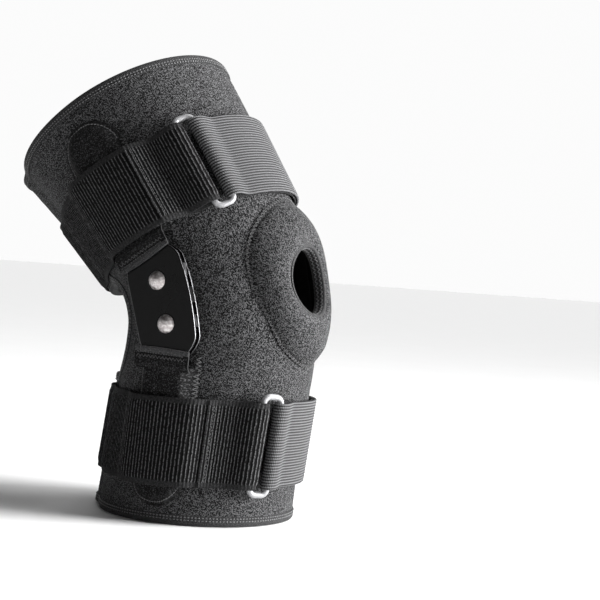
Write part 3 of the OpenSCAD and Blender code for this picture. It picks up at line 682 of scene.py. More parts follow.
def thread_mesh(name, starts, ends, radius, mat):
    """Short rounded stitches from start points to end points, all in one mesh."""
    count = len(starts)
    axis = ends - starts
    length = np.linalg.norm(axis, axis=1, keepdims=True)
    axis = axis / np.maximum(length, 1e-6)
    helper = np.where(np.abs(axis[:, :1]) < 0.8, [[1.0, 0, 0]], [[0, 1.0, 0]])
    u = unit(np.cross(axis, helper))
    v = np.cross(axis, u)
    ring_at, ring_r, sides = [0.0, 0.18, 0.5, 0.82, 1.0], [0.45, 0.95, 1.05, 0.95, 0.45], 6
    verts = []
    for f, k in zip(ring_at, ring_r):
        for q in range(sides):
            a = 2 * math.pi * q / sides
            verts.append(starts + axis * length * f + (u * math.cos(a) + v * math.sin(a)) * radius * k)
    verts = np.stack(verts, 1).reshape(-1, 3)
    per = sides * len(ring_at)
    caps = [tuple(range(sides))[::-1], tuple(range(per - sides, per))]
    one = tube_faces(len(ring_at), sides) + caps
    faces = [tuple(x + k * per for x in f) for k in range(count) for f in one]
    return new_mesh(name, verts, faces, np.zeros((len(verts), 2)), [mat], sharp=80)


def zigzag(angle, s, pitch, width, lift, offset):
    """Ends of zigzag stitches along a line."""
    a, t = even_line(angle, s, pitch)
    da, ds = step_left(a, t, np.gradient(skin(a, t, outer_lift(a)), axis=0))
    side = every_other(len(a), 0.5) * width + offset
    a, t = a + da * side, t + ds * side
    p = skin(a, t, outer_lift(a) + lift)
    return p[:-1], p[1:]


def dashes(p, start, end):
    """Ends of dashed stitches between following points, from one fraction of each step to another."""
    return mix(p[:-1], p[1:], start), mix(p[:-1], p[1:], end)


def sew(name, pairs, radius, mat, body=None):
    """Makes stitches from pairs of ends. Without a body they are made in two halves, split at the knee's
    seam.
    """
    starts = np.concatenate([p[0] for p in pairs])
    ends = np.concatenate([p[1] for p in pairs])
    if body:
        finish_piece(thread_mesh(name, starts, ends, radius, mat), body=body)
        return
    above = ((starts + ends) / 2 - SEAM_AT) @ SEAM_DIR > 0
    for half, pick in (("lower", ~above), ("upper", above)):
        if pick.any():
            obj = thread_mesh(f"{name}_{half}", starts[pick], ends[pick], radius, mat)
            finish_piece(obj, half=half)


# ---------------------------------------------------------------- edge binding
def outline():
    """The sleeve's outline as lines of (angle, s), in order: calf rim, outer side, thigh rim, inner side."""
    eps, n = 0.02, 400
    top = LEG_LEN - RIM_S
    s = np.concatenate([RIM_S + spread(0, NOTCH_FROM - RIM_S, n),
                        spread(NOTCH_FROM + eps, NOTCH_TO - eps, n), spread(NOTCH_TO, top, n)])
    outer_a, inner_a = edge_angle(s, 1), -edge_angle(s, -1)
    rim = np.linspace(inner_a[0], outer_a[0], n)
    angle = np.concatenate([rim, outer_a, rim[::-1], inner_a[::-1]])
    return angle, np.concatenate([np.full(n, RIM_S), s, np.full(n, top), s[::-1]])


def edge_binding():
    a, s = even_line(*outline(), step=2.0)
    a, s = a[:-1], s[:-1]
    # The corner where a flap meets the notch is eased a little, as a sewn tape runs
    for _ in range(2):
        a = (np.roll(a, 1) + 2 * a + np.roll(a, -1)) / 4
        s = (np.roll(s, 1) + 2 * s + np.roll(s, -1)) / 4
    p = skin(a, s, outer_lift(a))
    da, ds = step_left(a, s, np.roll(p, -1, 0) - np.roll(p, 1, 0))
    # Steps in from the fabric's edge and heights off its faces
    profile = [(4.6, 0.12), (4.4, 0.55), (3.2, 0.62), (1.4, 0.85), (0.2, 0.85), (-0.8, 0.35)]
    grid, inside = [], []
    for q, h in profile:
        aq, sq = a + da * q, s + ds * q
        grid.append(skin(aq, sq, outer_lift(a) + h))
        inside.append(skin(aq, sq, inner_lift(a) - h))
    mid = skin(a + da * -1.2, s + ds * -1.2, (outer_lift(a) + inner_lift(a)) / 2)
    loop = np.stack(grid + [mid] + inside[::-1], 0)
    loop[..., 2] = np.maximum(loop[..., 2], 0.02)
    count, size = loop.shape[:2]
    verts = loop.reshape(-1, 3)
    across = summed([1.1, 1.6, 1.3, 1.1, 1.1, 1.6, 1.6, 1.1, 1.1, 1.3, 1.6, 1.1])
    uv = np.stack(np.broadcast_arrays(run_along(p)[None, :], across[:, None]), -1).reshape(-1, 2) * MM
    faces = tube_faces(count, size, closed=True)
    mids = np.array([verts[list(f)].mean(0) for f in faces])
    above = (mids - SEAM_AT) @ SEAM_DIR > 0
    for half, pick, nodes in (("lower", ~above, ("calf_edge_binding",)),
                              ("upper", above, ("thigh_edge_binding",))):
        used, chosen = picked(verts, [f for f, ok in zip(faces, pick) if ok])
        obj = new_mesh("edge_binding_" + half, verts[used], chosen, uv[used], [BINDING])
        finish_piece(obj, half=half, replaced=nodes)
    # Two rows of small stitches along the tape
    pairs = []
    for off in (2.1, 3.7):
        p = skin(a + da * off, s + ds * off, outer_lift(a) + 0.75)
        following = np.roll(p, -1, 0)
        pairs.append((mix(p, following, 0.15), mix(p, following, 0.7)))
    sew("binding_stitches", pairs, 0.32, THREAD_PALE)


# ---------------------------------------------------------------- padded ring round the patella opening
PAD_MID, PAD_HALF_H, PAD_HALF_W, PAD_EGG = 125.5, 31.7, 37.0, 0.30
PAD_FULL = 0.9         # the crown's height, as a share of the profile's
BORDER_W, KNEE_W = 56.0, 57.0       # half the knee's width, to turn a place across it into an angle
LINER_T = 1.3


def pad_border(theta):
    """Egg-shaped border, narrower towards the calf, as (angle, s)."""
    c, q = np.cos(theta), np.sin(theta)
    x = PAD_HALF_W * c * (1 + PAD_EGG * q)
    return np.degrees(np.arcsin(np.clip(x / BORDER_W, -1, 1))), PAD_MID + PAD_HALF_H * q


def on_patella(x, y, z):
    """A point in the opening's own frame: x towards the outer side, y up the leg, z out of the front."""
    x, y, z = (c[..., None] for c in np.broadcast_arrays(x, y, z))
    return PATELLA_AT + x * np.array([-1.0, 0, 0]) + y * PATELLA_UP + z * PATELLA_OUT


def cut_and_follow(obj, nodes):
    """Cuts a closed mesh at the knee's seam plane into a lower and an upper piece."""
    at, direction = Vector(SEAM_AT * MM), Vector(SEAM_DIR)
    for half, keep_low in (("lower", True), ("upper", False)):
        part = obj.copy()
        part.data = obj.data.copy()
        part.name = part.data.name = f"{obj.name}_{half}"
        bpy.context.scene.collection.objects.link(part)
        bm = bmesh.new()
        bm.from_mesh(part.data)
        bmesh.ops.bisect_plane(bm, geom=bm.verts[:] + bm.edges[:] + bm.faces[:], plane_co=at,
                               plane_no=direction, clear_outer=keep_low, clear_inner=not keep_low)
        rim = [e for e in bm.edges if e.is_boundary]
        bmesh.ops.holes_fill(bm, edges=rim, sides=0)
        bmesh.ops.recalc_face_normals(bm, faces=bm.faces)
        bm.to_mesh(part.data)
        bm.free()
        part.data.set_sharp_from_angle(angle=math.radians(60))
        finish_piece(part, half=half, replaced=nodes)
    bpy.data.objects.remove(obj)


# Across the ring: the share of the way from the opening to the border, and the height
PAD_PROFILE = [(0.0, -1.0), (0.0, 1.5), (0.0, 4.0), (0.012, 6.1), (0.06, 7.6), (0.15, 8.7), (0.27, 9.0),
               (0.4, 8.6), (0.54, 7.5), (0.68, 5.8), (0.80, 4.0), (0.88, 2.5), (0.925, 1.1), (0.95, 0.35),
               (0.975, 0.35), (1.0, 0.8)]


def pad_mesh():
    """Closed egg-shaped ring: a crowned top over a flat base, on the curve of the leg."""
    turns, ups = 128, 40
    theta = np.linspace(0, 2 * math.pi, turns, endpoint=False)
    border_a, border_s = pad_border(theta)
    border = skin(border_a, border_s) - PATELLA_AT
    bx, by = -border[:, 0], border @ PATELLA_UP
    spread_theta = np.arctan2(by, bx)
    hx, hy = PATELLA_R * np.cos(spread_theta), PATELLA_R * np.sin(spread_theta)
    key = np.array(PAD_PROFILE)
    steps = summed(np.hypot(np.diff(key[:, 0]) * 18, np.diff(key[:, 1])))
    at = np.linspace(0, steps[-1], ups)
    rho, high = np.interp(at, steps, key[:, 0]), np.interp(at, steps, key[:, 1])
    high = np.where(high > 1.5, 1.5 + (high - 1.5) * PAD_FULL, high)
    # Each point stands on the leg's own curve, along the line from the hole to the border
    hole_a, hole_s = place_of(hx, hy)
    top, base = [], []
    for r, h in zip(rho, high):
        a, s = mix(hole_a, border_a, r), mix(hole_s, border_s, r)
        top.append(skin(a, s, h))
        base.append(skin(a, s, -0.6 if h < 0 else 0.25))
    top, base = np.stack(top, 1), np.stack(base, 1)
    # The inner wall stands straight along the opening's axis
    for j in range(len(rho)):
        if rho[j] < 1e-6:
            out = (top[:, j] - PATELLA_AT) @ PATELLA_OUT
            top[:, j] = on_patella(hx, hy, out)
    uv = np.stack(np.broadcast_arrays((spread_theta % (2 * math.pi))[:, None] * 30.0, at[None, :]), -1)
    return top, base, uv


def place_of(x, y):
    """(angle, s) of points on the sleeve given across and up from the middle of the opening."""
    a, s = np.degrees(np.arcsin(x / KNEE_W)), PATELLA_S + y * 0.75
    for _ in range(12):
        p = skin(a, s) - PATELLA_AT
        a = a + np.degrees((x + p[..., 0]) / KNEE_W)
        s = s + (y - p @ PATELLA_UP) * 0.7
    return a, s


def patella_pad():
    top, base, uv = pad_mesh()
    top = puff(top, base)
    obj = thick_sheet("patella_pad", top, base, uv, [KNIT, LINING, KNIT], wrap=True, sharp=75)
    smooth_uv(obj)
    cut_and_follow(obj, ("patella_pad",))
    border = pad_border(np.linspace(0, 2 * math.pi, 500))
    stitches = zigzag(*border, pitch=1.25, width=2.2, lift=0.95, offset=0.6)
    sew("pad_border_stitches", [stitches], 0.22, THREAD)


def smooth_uv(obj):
    """Weave coordinates from the piece's own shape at rest: across the knee and up it."""
    me = obj.data
    co = np.zeros(len(me.vertices) * 3)
    me.vertices.foreach_get("co", co)
    co = co.reshape(-1, 3) / MM
    rel = co - PATELLA_AT
    out = rel @ PATELLA_OUT
    flat = np.stack([-rel[:, 0] - 0.55 * out, rel @ PATELLA_UP + 0.35 * out], -1)
    loops = np.zeros(len(me.loops), int)
    me.loops.foreach_get("vertex_index", loops)
    me.uv_layers["weave"].data.foreach_set("uv", (flat * MM)[loops].astype(np.float32).ravel())


PUFF_CAP, PUFF_FRAMES = 2.6, 20
WALL_ROWS, BORDER_ROWS = 8, 2       # rows of the sheet that the cloth is pinned by


def puff(top, base):
    """Swells the ring's upper sheet with Blender's cloth, pinned along its sewn border and its inner wall."""
    turns, ups = top.shape[:2]
    flat = top.reshape(-1, 3)
    starts = [(i * ups, (i + 1) % turns * ups) for i in range(turns)]
    faces = [(a + j, b + j, b + j + 1, a + j + 1) for a, b in starts for j in range(ups - 1)]
    me = bpy.data.meshes.new("pad_cloth")
    me.from_pydata((flat * MM).tolist(), [], faces)
    bm = bmesh.new()
    bm.from_mesh(me)
    bmesh.ops.recalc_face_normals(bm, faces=bm.faces)
    if sum(f.normal.dot(Vector(PATELLA_OUT)) for f in bm.faces) < 0:
        bmesh.ops.reverse_faces(bm, faces=bm.faces)
    bm.to_mesh(me)
    bm.free()
    obj = add_object("pad_cloth", me)
    group = obj.vertex_groups.new(name="pin")
    held = [i * ups + j for i in range(turns) for j in range(ups) if j < WALL_ROWS or j >= ups - BORDER_ROWS]
    group.add(held, 1.0, "REPLACE")
    cloth = obj.modifiers.new("cloth", "CLOTH")
    st = cloth.settings
    st.quality, st.mass, st.air_damping = 6, 0.15, 4
    st.tension_stiffness = st.compression_stiffness = 12
    st.shear_stiffness, st.bending_stiffness = 6, 0.3
    st.vertex_group_mass = "pin"
    st.pin_stiffness = 1
    st.use_pressure, st.uniform_pressure_force = True, 5.0
    st.effector_weights.gravity = 0
    cloth.collision_settings.use_collision = False
    cloth.collision_settings.use_self_collision = False
    cloth.point_cache.frame_start, cloth.point_cache.frame_end = 1, PUFF_FRAMES
    for f in range(1, PUFF_FRAMES + 1):
        bpy.context.scene.frame_set(f)
    done = obj.evaluated_get(bpy.context.evaluated_depsgraph_get())
    co = np.zeros(len(done.data.vertices) * 3)
    done.data.vertices.foreach_get("co", co)
    moved = co.reshape(-1, 3) / MM - flat
    size = np.linalg.norm(moved, axis=1, keepdims=True)
    print("pad cloth moved up to", round(float(size.max()), 2), "mm")
    moved *= np.minimum(1, PUFF_CAP / np.maximum(size, 1e-6))
    bpy.context.scene.frame_set(1)
    bpy.data.objects.remove(obj)
    return (flat + moved).reshape(top.shape)


def patella_liner():
    """Strip of binding sewn inside the opening, with its rolled lower edge."""
    turns = 120
    theta = np.linspace(0, 2 * math.pi, turns, endpoint=False)
    a, s = place_of(PATELLA_R * np.cos(theta), PATELLA_R * np.sin(theta))
    foot = (skin(a, s) - PATELLA_AT) @ PATELLA_OUT
    profile = [(0.5, -1.2), (-0.5, -1.4), (-0.7, -0.6), (-0.45, 0.4), (-0.35, 2.6), (-0.45, 4.6),
               (-0.2, 5.4), (0.5, 5.6)]
    outer, inner = [], []
    for q, h in profile:
        r = PATELLA_R + q
        outer.append(on_patella(r * np.cos(theta), r * np.sin(theta), foot + h))
        inner.append(on_patella((r + LINER_T) * np.cos(theta), (r + LINER_T) * np.sin(theta), foot + h))
    outer, inner = np.stack(outer, 1), np.stack(inner, 1)
    across = summed([1.0, 0.9, 1.0, 2.2, 2.0, 0.9, 0.7])
    uv = np.stack(np.broadcast_arrays((theta * PATELLA_R)[:, None], across[None, :]), -1)
    obj = thick_sheet("patella_liner", outer, inner, uv, [BINDING, LINING, BINDING], wrap=True, sharp=70)
    cut_and_follow(obj, ("patella_binding",))
    pairs = []
    fine = np.linspace(0, 2 * math.pi, 89)
    fa, fs = place_of(PATELLA_R * np.cos(fine), PATELLA_R * np.sin(fine))
    ff = (skin(fa, fs) - PATELLA_AT) @ PATELLA_OUT
    r = PATELLA_R - 0.7
    for level in (0.9, 3.6):
        p = on_patella(r * np.cos(fine), r * np.sin(fine), ff + level + every_other(len(fine), 0.8))
        pairs.append((p[:-1], p[1:]))
    sew("liner_stitches", pairs, 0.24, THREAD_PALE)


# ---------------------------------------------------------------- hinge layout, as in the CAD source
HINGE_LEAN, RIVET_PITCH = 18.0, 25.0
HINGE_MID = np.array([-5.5, 124.5])
UPPER_RIVET = HINGE_MID + along(HINGE_LEAN) * RIVET_PITCH / 2
LOWER_RIVET = HINGE_MID - along(HINGE_LEAN) * RIVET_PITCH / 2
INNER_FACE, PLATE_T, STAY_T, LAYER_GAP = 58.2, 1.5, 2.6, 0.3
STAY_FACE = INNER_FACE + PLATE_T + LAYER_GAP
OUTER_FACE = STAY_FACE + STAY_T + LAYER_GAP
PLATE_L, PLATE_W, PLATE_CORNER, PLATE_BOW = 68.0, 38.0, 18.0, 150.0
HEAD_R = 5.4


def against_leg(x, y, out, yz, lean_angle, side=1):
    """A flat drawing set on the side of the leg: x forward, y up, out from the leg's middle."""
    x, y, out = np.broadcast_arrays(x, y, out)
    up, fwd = along(lean_angle), -backward(lean_angle)
    p = yz + x[..., None] * fwd + y[..., None] * up
    return np.stack([-side * out, p[..., 0], p[..., 1]], -1)


def plate_outline(inset=0.0, n=18):
    """Rounded rectangle whose front edge bows forward, as (forward, up) points."""
    half_w, half_l, r = PLATE_W / 2 - inset, PLATE_L / 2 - inset, PLATE_CORNER - inset
    corners = []
    for k, (sx, sy) in enumerate([(1, 1), (-1, 1), (-1, -1), (1, -1)]):
        for q in range(n + 1):
            a = math.pi / 2 * (k + q / n)
            corners.append((sx * (half_w - r) + r * math.cos(a), sy * (half_l - r) + r * math.sin(a)))
    pts = []
    for p, q in zip(corners, corners[1:] + corners[:1]):
        steps = max(int(math.hypot(q[0] - p[0], q[1] - p[1]) / 2), 1)
        pts += [(mix(p[0], q[0], k / steps), mix(p[1], q[1], k / steps)) for k in range(steps)]
    bow = PLATE_BOW - inset
    return np.array([(min(x, PLATE_W / 2 - PLATE_BOW + math.sqrt(bow**2 - y**2)), y) for x, y in pts])


def plates(side, word):
    # Each ring's inset from the outline and its height. Counted from 0, the steps after rings 1, 2, 4 and 5
    # are the worn rim.
    rings = [(1.2, 0.0), (0.3, 0.0), (0.09, 0.09), (0.0, 0.3), (0.0, PLATE_T - 0.3),
             (0.09, PLATE_T - 0.09), (0.3, PLATE_T), (1.2, PLATE_T)]
    for layer, face in (("outer", OUTER_FACE), ("inner", INNER_FACE)):
        verts = []
        for inset, out in rings:
            o = plate_outline(inset)
            verts.append(against_leg(o[:, 0], o[:, 1], face + out, HINGE_MID, HINGE_LEAN, side))
        n, last = len(verts[0]), len(rings) - 1
        faces = tube_faces(len(rings), n) + [tuple(range(n)), tuple(range(last * n, (last + 1) * n))]
        kinds = [1 if k in (1, 2, 4, 5) else 0 for k in range(last) for _ in range(n)] + [0, 0]
        verts = np.concatenate(verts)
        name = f"{word}_{layer}_plate"
        obj = new_mesh(name + "_shape", verts, faces, verts[:, 1:] * MM, [PLATE, PLATE_RIM], kinds, 28)
        finish_piece(obj, body=f"{word}_hinge", replaced=(name,))


def rivet_shade_rings(side, word):
    """Thin dark ring round the foot of each domed head, standing for the shade in the gap under it: painted
    shade.
    """
    verts, faces = [], []
    rings = [(-0.1, 0.0), (0.42, 0.0), (0.5, 0.1), (0.35, 0.22), (0.1, 0.2), (-0.2, 0.1)]
    n = 48
    a = np.linspace(0, 2 * math.pi, n, endpoint=False)
    for yz in (UPPER_RIVET, LOWER_RIVET):
        faces += tube_faces(len(rings), n, len(verts) * n, closed=True)
        for grow, h in rings:
            x, y = (HEAD_R + grow) * np.cos(a), (HEAD_R + grow) * np.sin(a)
            verts.append(against_leg(x, y, OUTER_FACE + PLATE_T + h, yz, HINGE_LEAN, side))
    verts = np.concatenate(verts)
    # The ring takes the plate's gloss black, as painted shade at the foot of the dome
    obj = new_mesh(f"{word}_rivet_collars", verts, faces, verts[:, 1:] * MM, [PLATE], sharp=60)
    finish_piece(obj, body=f"{word}_hinge")


def frame_materials():
    for word in ("lateral", "medial"):
        looks = {f"{word}_upper_rivet": STEEL, f"{word}_lower_rivet": STEEL, f"{word}_washers": WASHER,
                 f"{word}_extension_stop": PLATE, f"calf_stay_{word}": STAY, f"thigh_stay_{word}": STAY}
        for name, mat in looks.items():
            paint(name, mat)
    paint("calf_ring", RING)
    paint("thigh_ring", RING)


def paint(node, mat):
    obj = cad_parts[node]
    if not obj.material_slots:
        obj.data.materials.append(mat)
    for slot in obj.material_slots:
        slot.material = mat


# ---------------------------------------------------------------- pockets and their hems
POCKET_T, POCKET_TIP, TUNNEL_HALF, STAY_SPACE = 1.2, 8.0, 11.0, 0.3
SEW_IN, GROOVE_D, GROOVE_W = 2.4, 0.35, 0.8        # the sewn line in from the edge, and its groove
CALF_STAY_L, THIGH_STAY_L, BEND_AT = 95.0, 96.0, 24.0
CALF_FACES = [(STAY_FACE, 30), (STAY_FACE, -BEND_AT), (58.1, -60), (58.5, -CALF_STAY_L - 1)]
THIGH_FACES = [(STAY_FACE, -30), (STAY_FACE, BEND_AT), (64.7, THIGH_STAY_L + 1)]
CALF_FORWARD = float((centre(BEND_START) - LOWER_RIVET) @ backward(-CALF_LEAN))
THIGH_FORWARD = float((centre(BEND_END) - UPPER_RIVET) @ backward(THIGH_LEAN))
CALF_S0 = float(BEND_START - (centre(BEND_START) - LOWER_RIVET) @ along(-CALF_LEAN))
THIGH_S0 = float(BEND_END + (UPPER_RIVET - centre(BEND_END)) @ along(THIGH_LEAN))
HEM_FACE = OUTER_FACE + PLATE_T + 0.4
HEM_W, HEM_REACH, SWEEP_R, HEM_FALL = 35.0, 14.0, 23.7, 1.5
HEM_END = SWEEP_R + HEM_FALL + 0.8

POCKETS = {
    "calf": dict(s0=CALF_S0, sign=-1, forward=CALF_FORWARD, faces=CALF_FACES, rivet=LOWER_RIVET,
                 length=CALF_STAY_L + POCKET_TIP, lean=-CALF_LEAN, half="lower", wide=17.5),
    "thigh": dict(s0=THIGH_S0, sign=1, forward=THIGH_FORWARD, faces=THIGH_FACES, rivet=UPPER_RIVET,
                  length=THIGH_STAY_L + POCKET_TIP, lean=THIGH_LEAN, half="upper", wide=20.0),
}


def pocket_width(pk, run):
    """Half the pocket's width at a distance from the rivet; the tip is a half circle."""
    short = np.maximum(pk["wide"] - pk["length"] + run, 0)
    return np.sqrt(np.maximum(pk["wide"]**2 - short**2, 16.0))


def pocket_point(pk, across, run, lift=0.0):
    """A point on a pocket: across from -1 to 1, run from the rivet towards the tip."""
    across, run = np.broadcast_arrays(across, run)
    left = pk["length"] - run
    w = pocket_width(pk, run)
    s, a = pk["s0"] + pk["sign"] * run, w * across * pk["sign"]
    p = skin(side_angle(pk["forward"] + a, s), s)
    edge = np.minimum(smooth((w - np.abs(a)) / (pk["wide"] - TUNNEL_HALF)), smooth(left / POCKET_TIP))
    xs, ys = zip(*sorted(((y * pk["sign"], x) for x, y in pk["faces"])))
    flat = np.interp(run, xs, ys) + STAY_T + STAY_SPACE
    rest = np.abs(p[..., 0]) + STAY_SPACE
    groove = sum(GROOVE_D * np.exp(-((gap - SEW_IN) / GROOVE_W)**2) for gap in (w - np.abs(a), left))
    x = mix(rest, np.maximum(flat, rest), edge) - groove
    return np.stack([-x - lift, p[..., 1], p[..., 2]], -1), a, s


def mirrored(p, side):
    return p * np.array([side, 1, 1])


def pocket(word, where, side):
    pk = POCKETS[word]
    across = np.sin(np.linspace(-math.pi / 2, math.pi / 2, 45))[:, None]
    run = mix(HEM_END - 2.5, pk["length"], 1 - (1 - np.linspace(0, 1, 64))**1.3)[None, :]
    base, a, s = pocket_point(pk, across, run)
    relief = (flesh(base, 11.0, 0.35, 3.1 + side) + flesh(base, 4.0, 0.12, 9.2))[..., None]
    outer = pocket_point(pk, across, run, POCKET_T)[0] + relief * np.array([-1.0, 0, 0])
    uv = np.stack(np.broadcast_arrays(a, s), -1)
    obj = thick_sheet(f"{word}_pocket_{where}_shell", mirrored(outer, side), mirrored(base, side), uv,
                      [POCKET, LINING, POCKET])
    finish_piece(obj, half=pk["half"], replaced=(f"{word}_pocket_{where}",))


def pocket_stitches(word, where, side):
    """Zigzag down the front edge, a pale run round the tip and a run down the back edge."""
    pk = POCKETS[word]
    front = 1 if pk["sign"] > 0 else -1
    straight_end = pk["length"] - pk["wide"]
    pairs = []

    def row(across, run, lift=POCKET_T + 0.35):
        p = pocket_point(pk, across, run)[0]
        return mirrored(p - np.stack([lift + 0 * run, 0 * run, 0 * run], -1), side)

    # The front edge is whipped down onto the sleeve, from beside the hem to where the tip turns
    run = np.arange(HEM_REACH + 3, straight_end, 1.2)
    zig = every_other(len(run))
    lift = np.where((zig > 0) | (run < HEM_END), 0.3, POCKET_T + 0.3)
    p = row(front * (pk["wide"] - 0.3 + 1.2 * zig) / pk["wide"], run, lift)
    pairs.append((p[:-1], p[1:]))
    run = np.arange(HEM_END - 1, straight_end, 1.15)
    p = row(-front * (pk["wide"] - SEW_IN + every_other(len(run), 0.6)) / pk["wide"], run)
    pairs.append((p[:-1], p[1:]))
    turn = np.linspace(-math.pi / 2, math.pi / 2, 30)
    r = pk["wide"] - 2.3
    y = straight_end + r * np.cos(turn)
    tip = dashes(row(r * np.sin(turn) / pocket_width(pk, y), y), 0.12, 0.86)
    sew(f"{word}_pocket_{where}_zigzag", pairs, 0.2, THREAD)
    sew(f"{word}_pocket_{where}_tip_stitches", [tip], 0.27, THREAD_PALE)


def hem(word, where, side):
    """The pocket's mouth, taped and sewn, lying over the end of the hinge plate."""
    pk = POCKETS[word]

    def flat(x, y, out):
        return against_leg(x, pk["sign"] * y, out, pk["rivet"], pk["lean"], side)

    low = STAY_FACE + STAY_T + STAY_SPACE
    key = np.array([(HEM_REACH, HEM_FACE), (SWEEP_R, HEM_FACE), (SWEEP_R + HEM_FALL, low), (HEM_END, low)])
    y = np.concatenate([np.linspace(HEM_REACH, SWEEP_R, 16), np.linspace(SWEEP_R + 0.25, HEM_END, 10)])
    face = np.interp(y, key[:, 0], key[:, 1])
    face = np.where(y > SWEEP_R - 1, mix(HEM_FACE, low, smooth((y - SWEEP_R + 1) / (HEM_FALL + 1.6))), face)
    x = np.linspace(-HEM_W / 2, HEM_W / 2, 42)
    tuck = 0.9 * smooth((np.abs(x) - HEM_W / 2 + 5) / 5)[:, None]
    bow = (0.8 * (1 - (2 * x / HEM_W)**2))[:, None]
    rows = y[None, :] - bow * (1 - smooth((y[None, :] - HEM_REACH) / 8))
    tape = plateau(y, HEM_REACH - 1, HEM_REACH + 2.0, 0.9)[None, :]
    outer_at = face[None, :] + POCKET_T + 0.7 * tape - tuck * 0.5
    outer, inner = flat(x[:, None], rows, outer_at), flat(x[:, None], rows, face[None, :])
    uv = np.stack(np.broadcast_arrays(x[:, None], rows), -1)
    obj = thick_sheet(f"{word}_hem_{where}_shell", outer, inner, uv, [POCKET, LINING, HEM], sharp=60)
    # The tape covers the mouth's outer face up to a line across it
    mouth = flat(np.array([0.0]), np.array([HEM_REACH + 2.7]), 0)[0]
    up = np.array([0.0, *along(pk["lean"])]) * pk["sign"]
    for poly in obj.data.polygons:
        if poly.material_index == 0 and (np.array(poly.center) / MM - mouth) @ up < 0:
            poly.material_index = 2
    finish_piece(obj, half=pk["half"], replaced=(f"{word}_pocket_hem_{where}",))
    pairs = []
    for level, amp, pitch in ((4.9, 0.8, 1.15), (2.9, 0.0, 1.7)):
        xs = np.arange(-HEM_W / 2 + 1.5, HEM_W / 2 - 1.4, pitch)
        p = flat(xs, HEM_REACH + level + every_other(len(xs), amp), HEM_FACE + POCKET_T + 0.15)
        pairs.append((p[:-1], p[1:]) if amp else dashes(p, 0.15, 0.8))
    sew(f"{word}_hem_{where}_stitches", pairs, 0.2, THREAD)


# ---------------------------------------------------------------- straps, as in the CAD source
STRAP_W, STRAP_T, STRAP_LIFT, POCKET_RISE, WING_RISE, TAB_RISE = 50.0, 1.6, 1.0, 7.8, 4.9, 1.7
RING_W, RING_R, BAR_LIFT, FOLD_GAP, ANCHOR_L = 15.0, 1.75, 6.9, 0.7, 30.0
FOLD_R, BAR_HALF = RING_R + FOLD_GAP + STRAP_T / 2, RING_W / 2 - RING_R
LAYER_LIFT, TAIL_FROM, TAIL_END, POCKET_SPAN = STRAP_T + 0.4, 14.0, -50.0, 14.0
TAB_START, TAB_END, TAB_T, TAB_HALF = 200.0, 242.0, 1.4, 24.0
HOOK_ON_TAIL, HOOK_BEYOND = 8.0, 13.0       # degrees of the hook tab over the strap's tail and past its end
LINES = {"calf": (49.5, -4.0), "thigh": (184.0, 6.0)}
RING_ANGLE = {"calf": 29.0, "thigh": 45.0}
POCKET_ANGLE = {word: float(side_angle(POCKETS[word]["forward"], LINES[word][0])) for word in LINES}
# Middles of the two wings along the leg
WING_MID = {"calf": (4 + 77) / 2, "thigh": (158 + LEG_LEN - 4) / 2}


def line_s(angle, line):
    return line[0] + line[1] * (1 - np.cos(np.radians(angle))) / 2


def arc_mm(angle, s):
    w, a = section(s), math.radians(angle)
    return float(np.hypot((w[0] + BAR_LIFT) * math.cos(a), (w[1] + BAR_LIFT) * math.sin(a))) * math.pi / 180


def band_point(angle, line, lift, v):
    s = line_s(angle, line)
    return mix(skin(angle, s - STRAP_W / 2, lift), skin(angle, s + STRAP_W / 2, lift), v[..., None])


def strap_height(angle, pocket_angle):
    return STRAP_LIFT + STRAP_T / 2 + np.maximum.reduce([
        POCKET_RISE * plateau(angle, pocket_angle - POCKET_SPAN, pocket_angle + POCKET_SPAN, 16),
        POCKET_RISE * plateau(360 - angle, pocket_angle - POCKET_SPAN, pocket_angle + POCKET_SPAN, 16),
        WING_RISE * plateau(angle, OUTER_FLAP + 13, WING_TIP + 2, 14),
        TAB_RISE * plateau(angle, TAB_START, TAB_END + 2, 6)])


def band(name, path, line, r, step, cells, shape, mats):
    """A webbing band along a path of (angle, lift) points. shape(length, y) is extra height on its faces."""
    path = np.array(path, float)
    flat = path * np.array([r, 1.0])
    d = run_along(flat)
    at = np.linspace(0, d[-1], int(d[-1] / step) + 1)
    # The path's corners are eased at one step a millimetre, and then the directions off it
    coarse = np.linspace(0, d[-1], max(int(d[-1]), 8))
    fx, fy = np.interp(coarse, d, flat[:, 0]), np.interp(coarse, d, flat[:, 1])
    for _ in range(2):
        fx[1:-1] = (fx[:-2] + 2 * fx[1:-1] + fx[2:]) / 4
        fy[1:-1] = (fy[:-2] + 2 * fy[1:-1] + fy[2:]) / 4
    x, y = np.interp(at, coarse, fx), np.interp(at, coarse, fy)
    hx, hy = np.gradient(x), np.gradient(y)
    for _ in range(3):
        hx[1:-1] = (hx[:-2] + hx[1:-1] + hx[2:]) / 3
        hy[1:-1] = (hy[:-2] + hy[1:-1] + hy[2:]) / 3
    size = np.hypot(hx, hy)
    hx, hy = hx / size, hy / size
    v = np.concatenate([[0.0, 0.008], np.linspace(0, 1, cells + 1)[1:-1], [0.992, 1.0]])
    length, vv = np.meshgrid(at, v, indexing="ij")
    extra = shape(length, vv * STRAP_W)
    rim = np.where((vv < 0.004) | (vv > 0.996), 0.55, 1.0)
    grids = []
    for face in (1, -1):
        off = face * (STRAP_T / 2 * rim + extra)
        px = x[:, None] - off * hy[:, None]
        py = y[:, None] + off * hx[:, None]
        grids.append(band_point(px / r, line, py, vv))
    uv = np.stack([length, vv * STRAP_W], -1)
    return thick_sheet(name, grids[0], grids[1], uv, mats, sharp=70)


def pile_shape(length, y):
    pile = plateau(y, 3.6, STRAP_W - 3.6, 0.7)
    jitter = 0.25 * np.sin(length * 0.9 + y * 0.6) + 0.2 * np.sin(y * 1.9 + length * 0.31)
    rib = RIB_H * (0.5 + 0.5 * np.cos(2 * math.pi * (length + 0.35 * jitter) / RIB_PITCH)) * pile
    return rib + 0.10 * pile - 0.25 * (1 - pile)


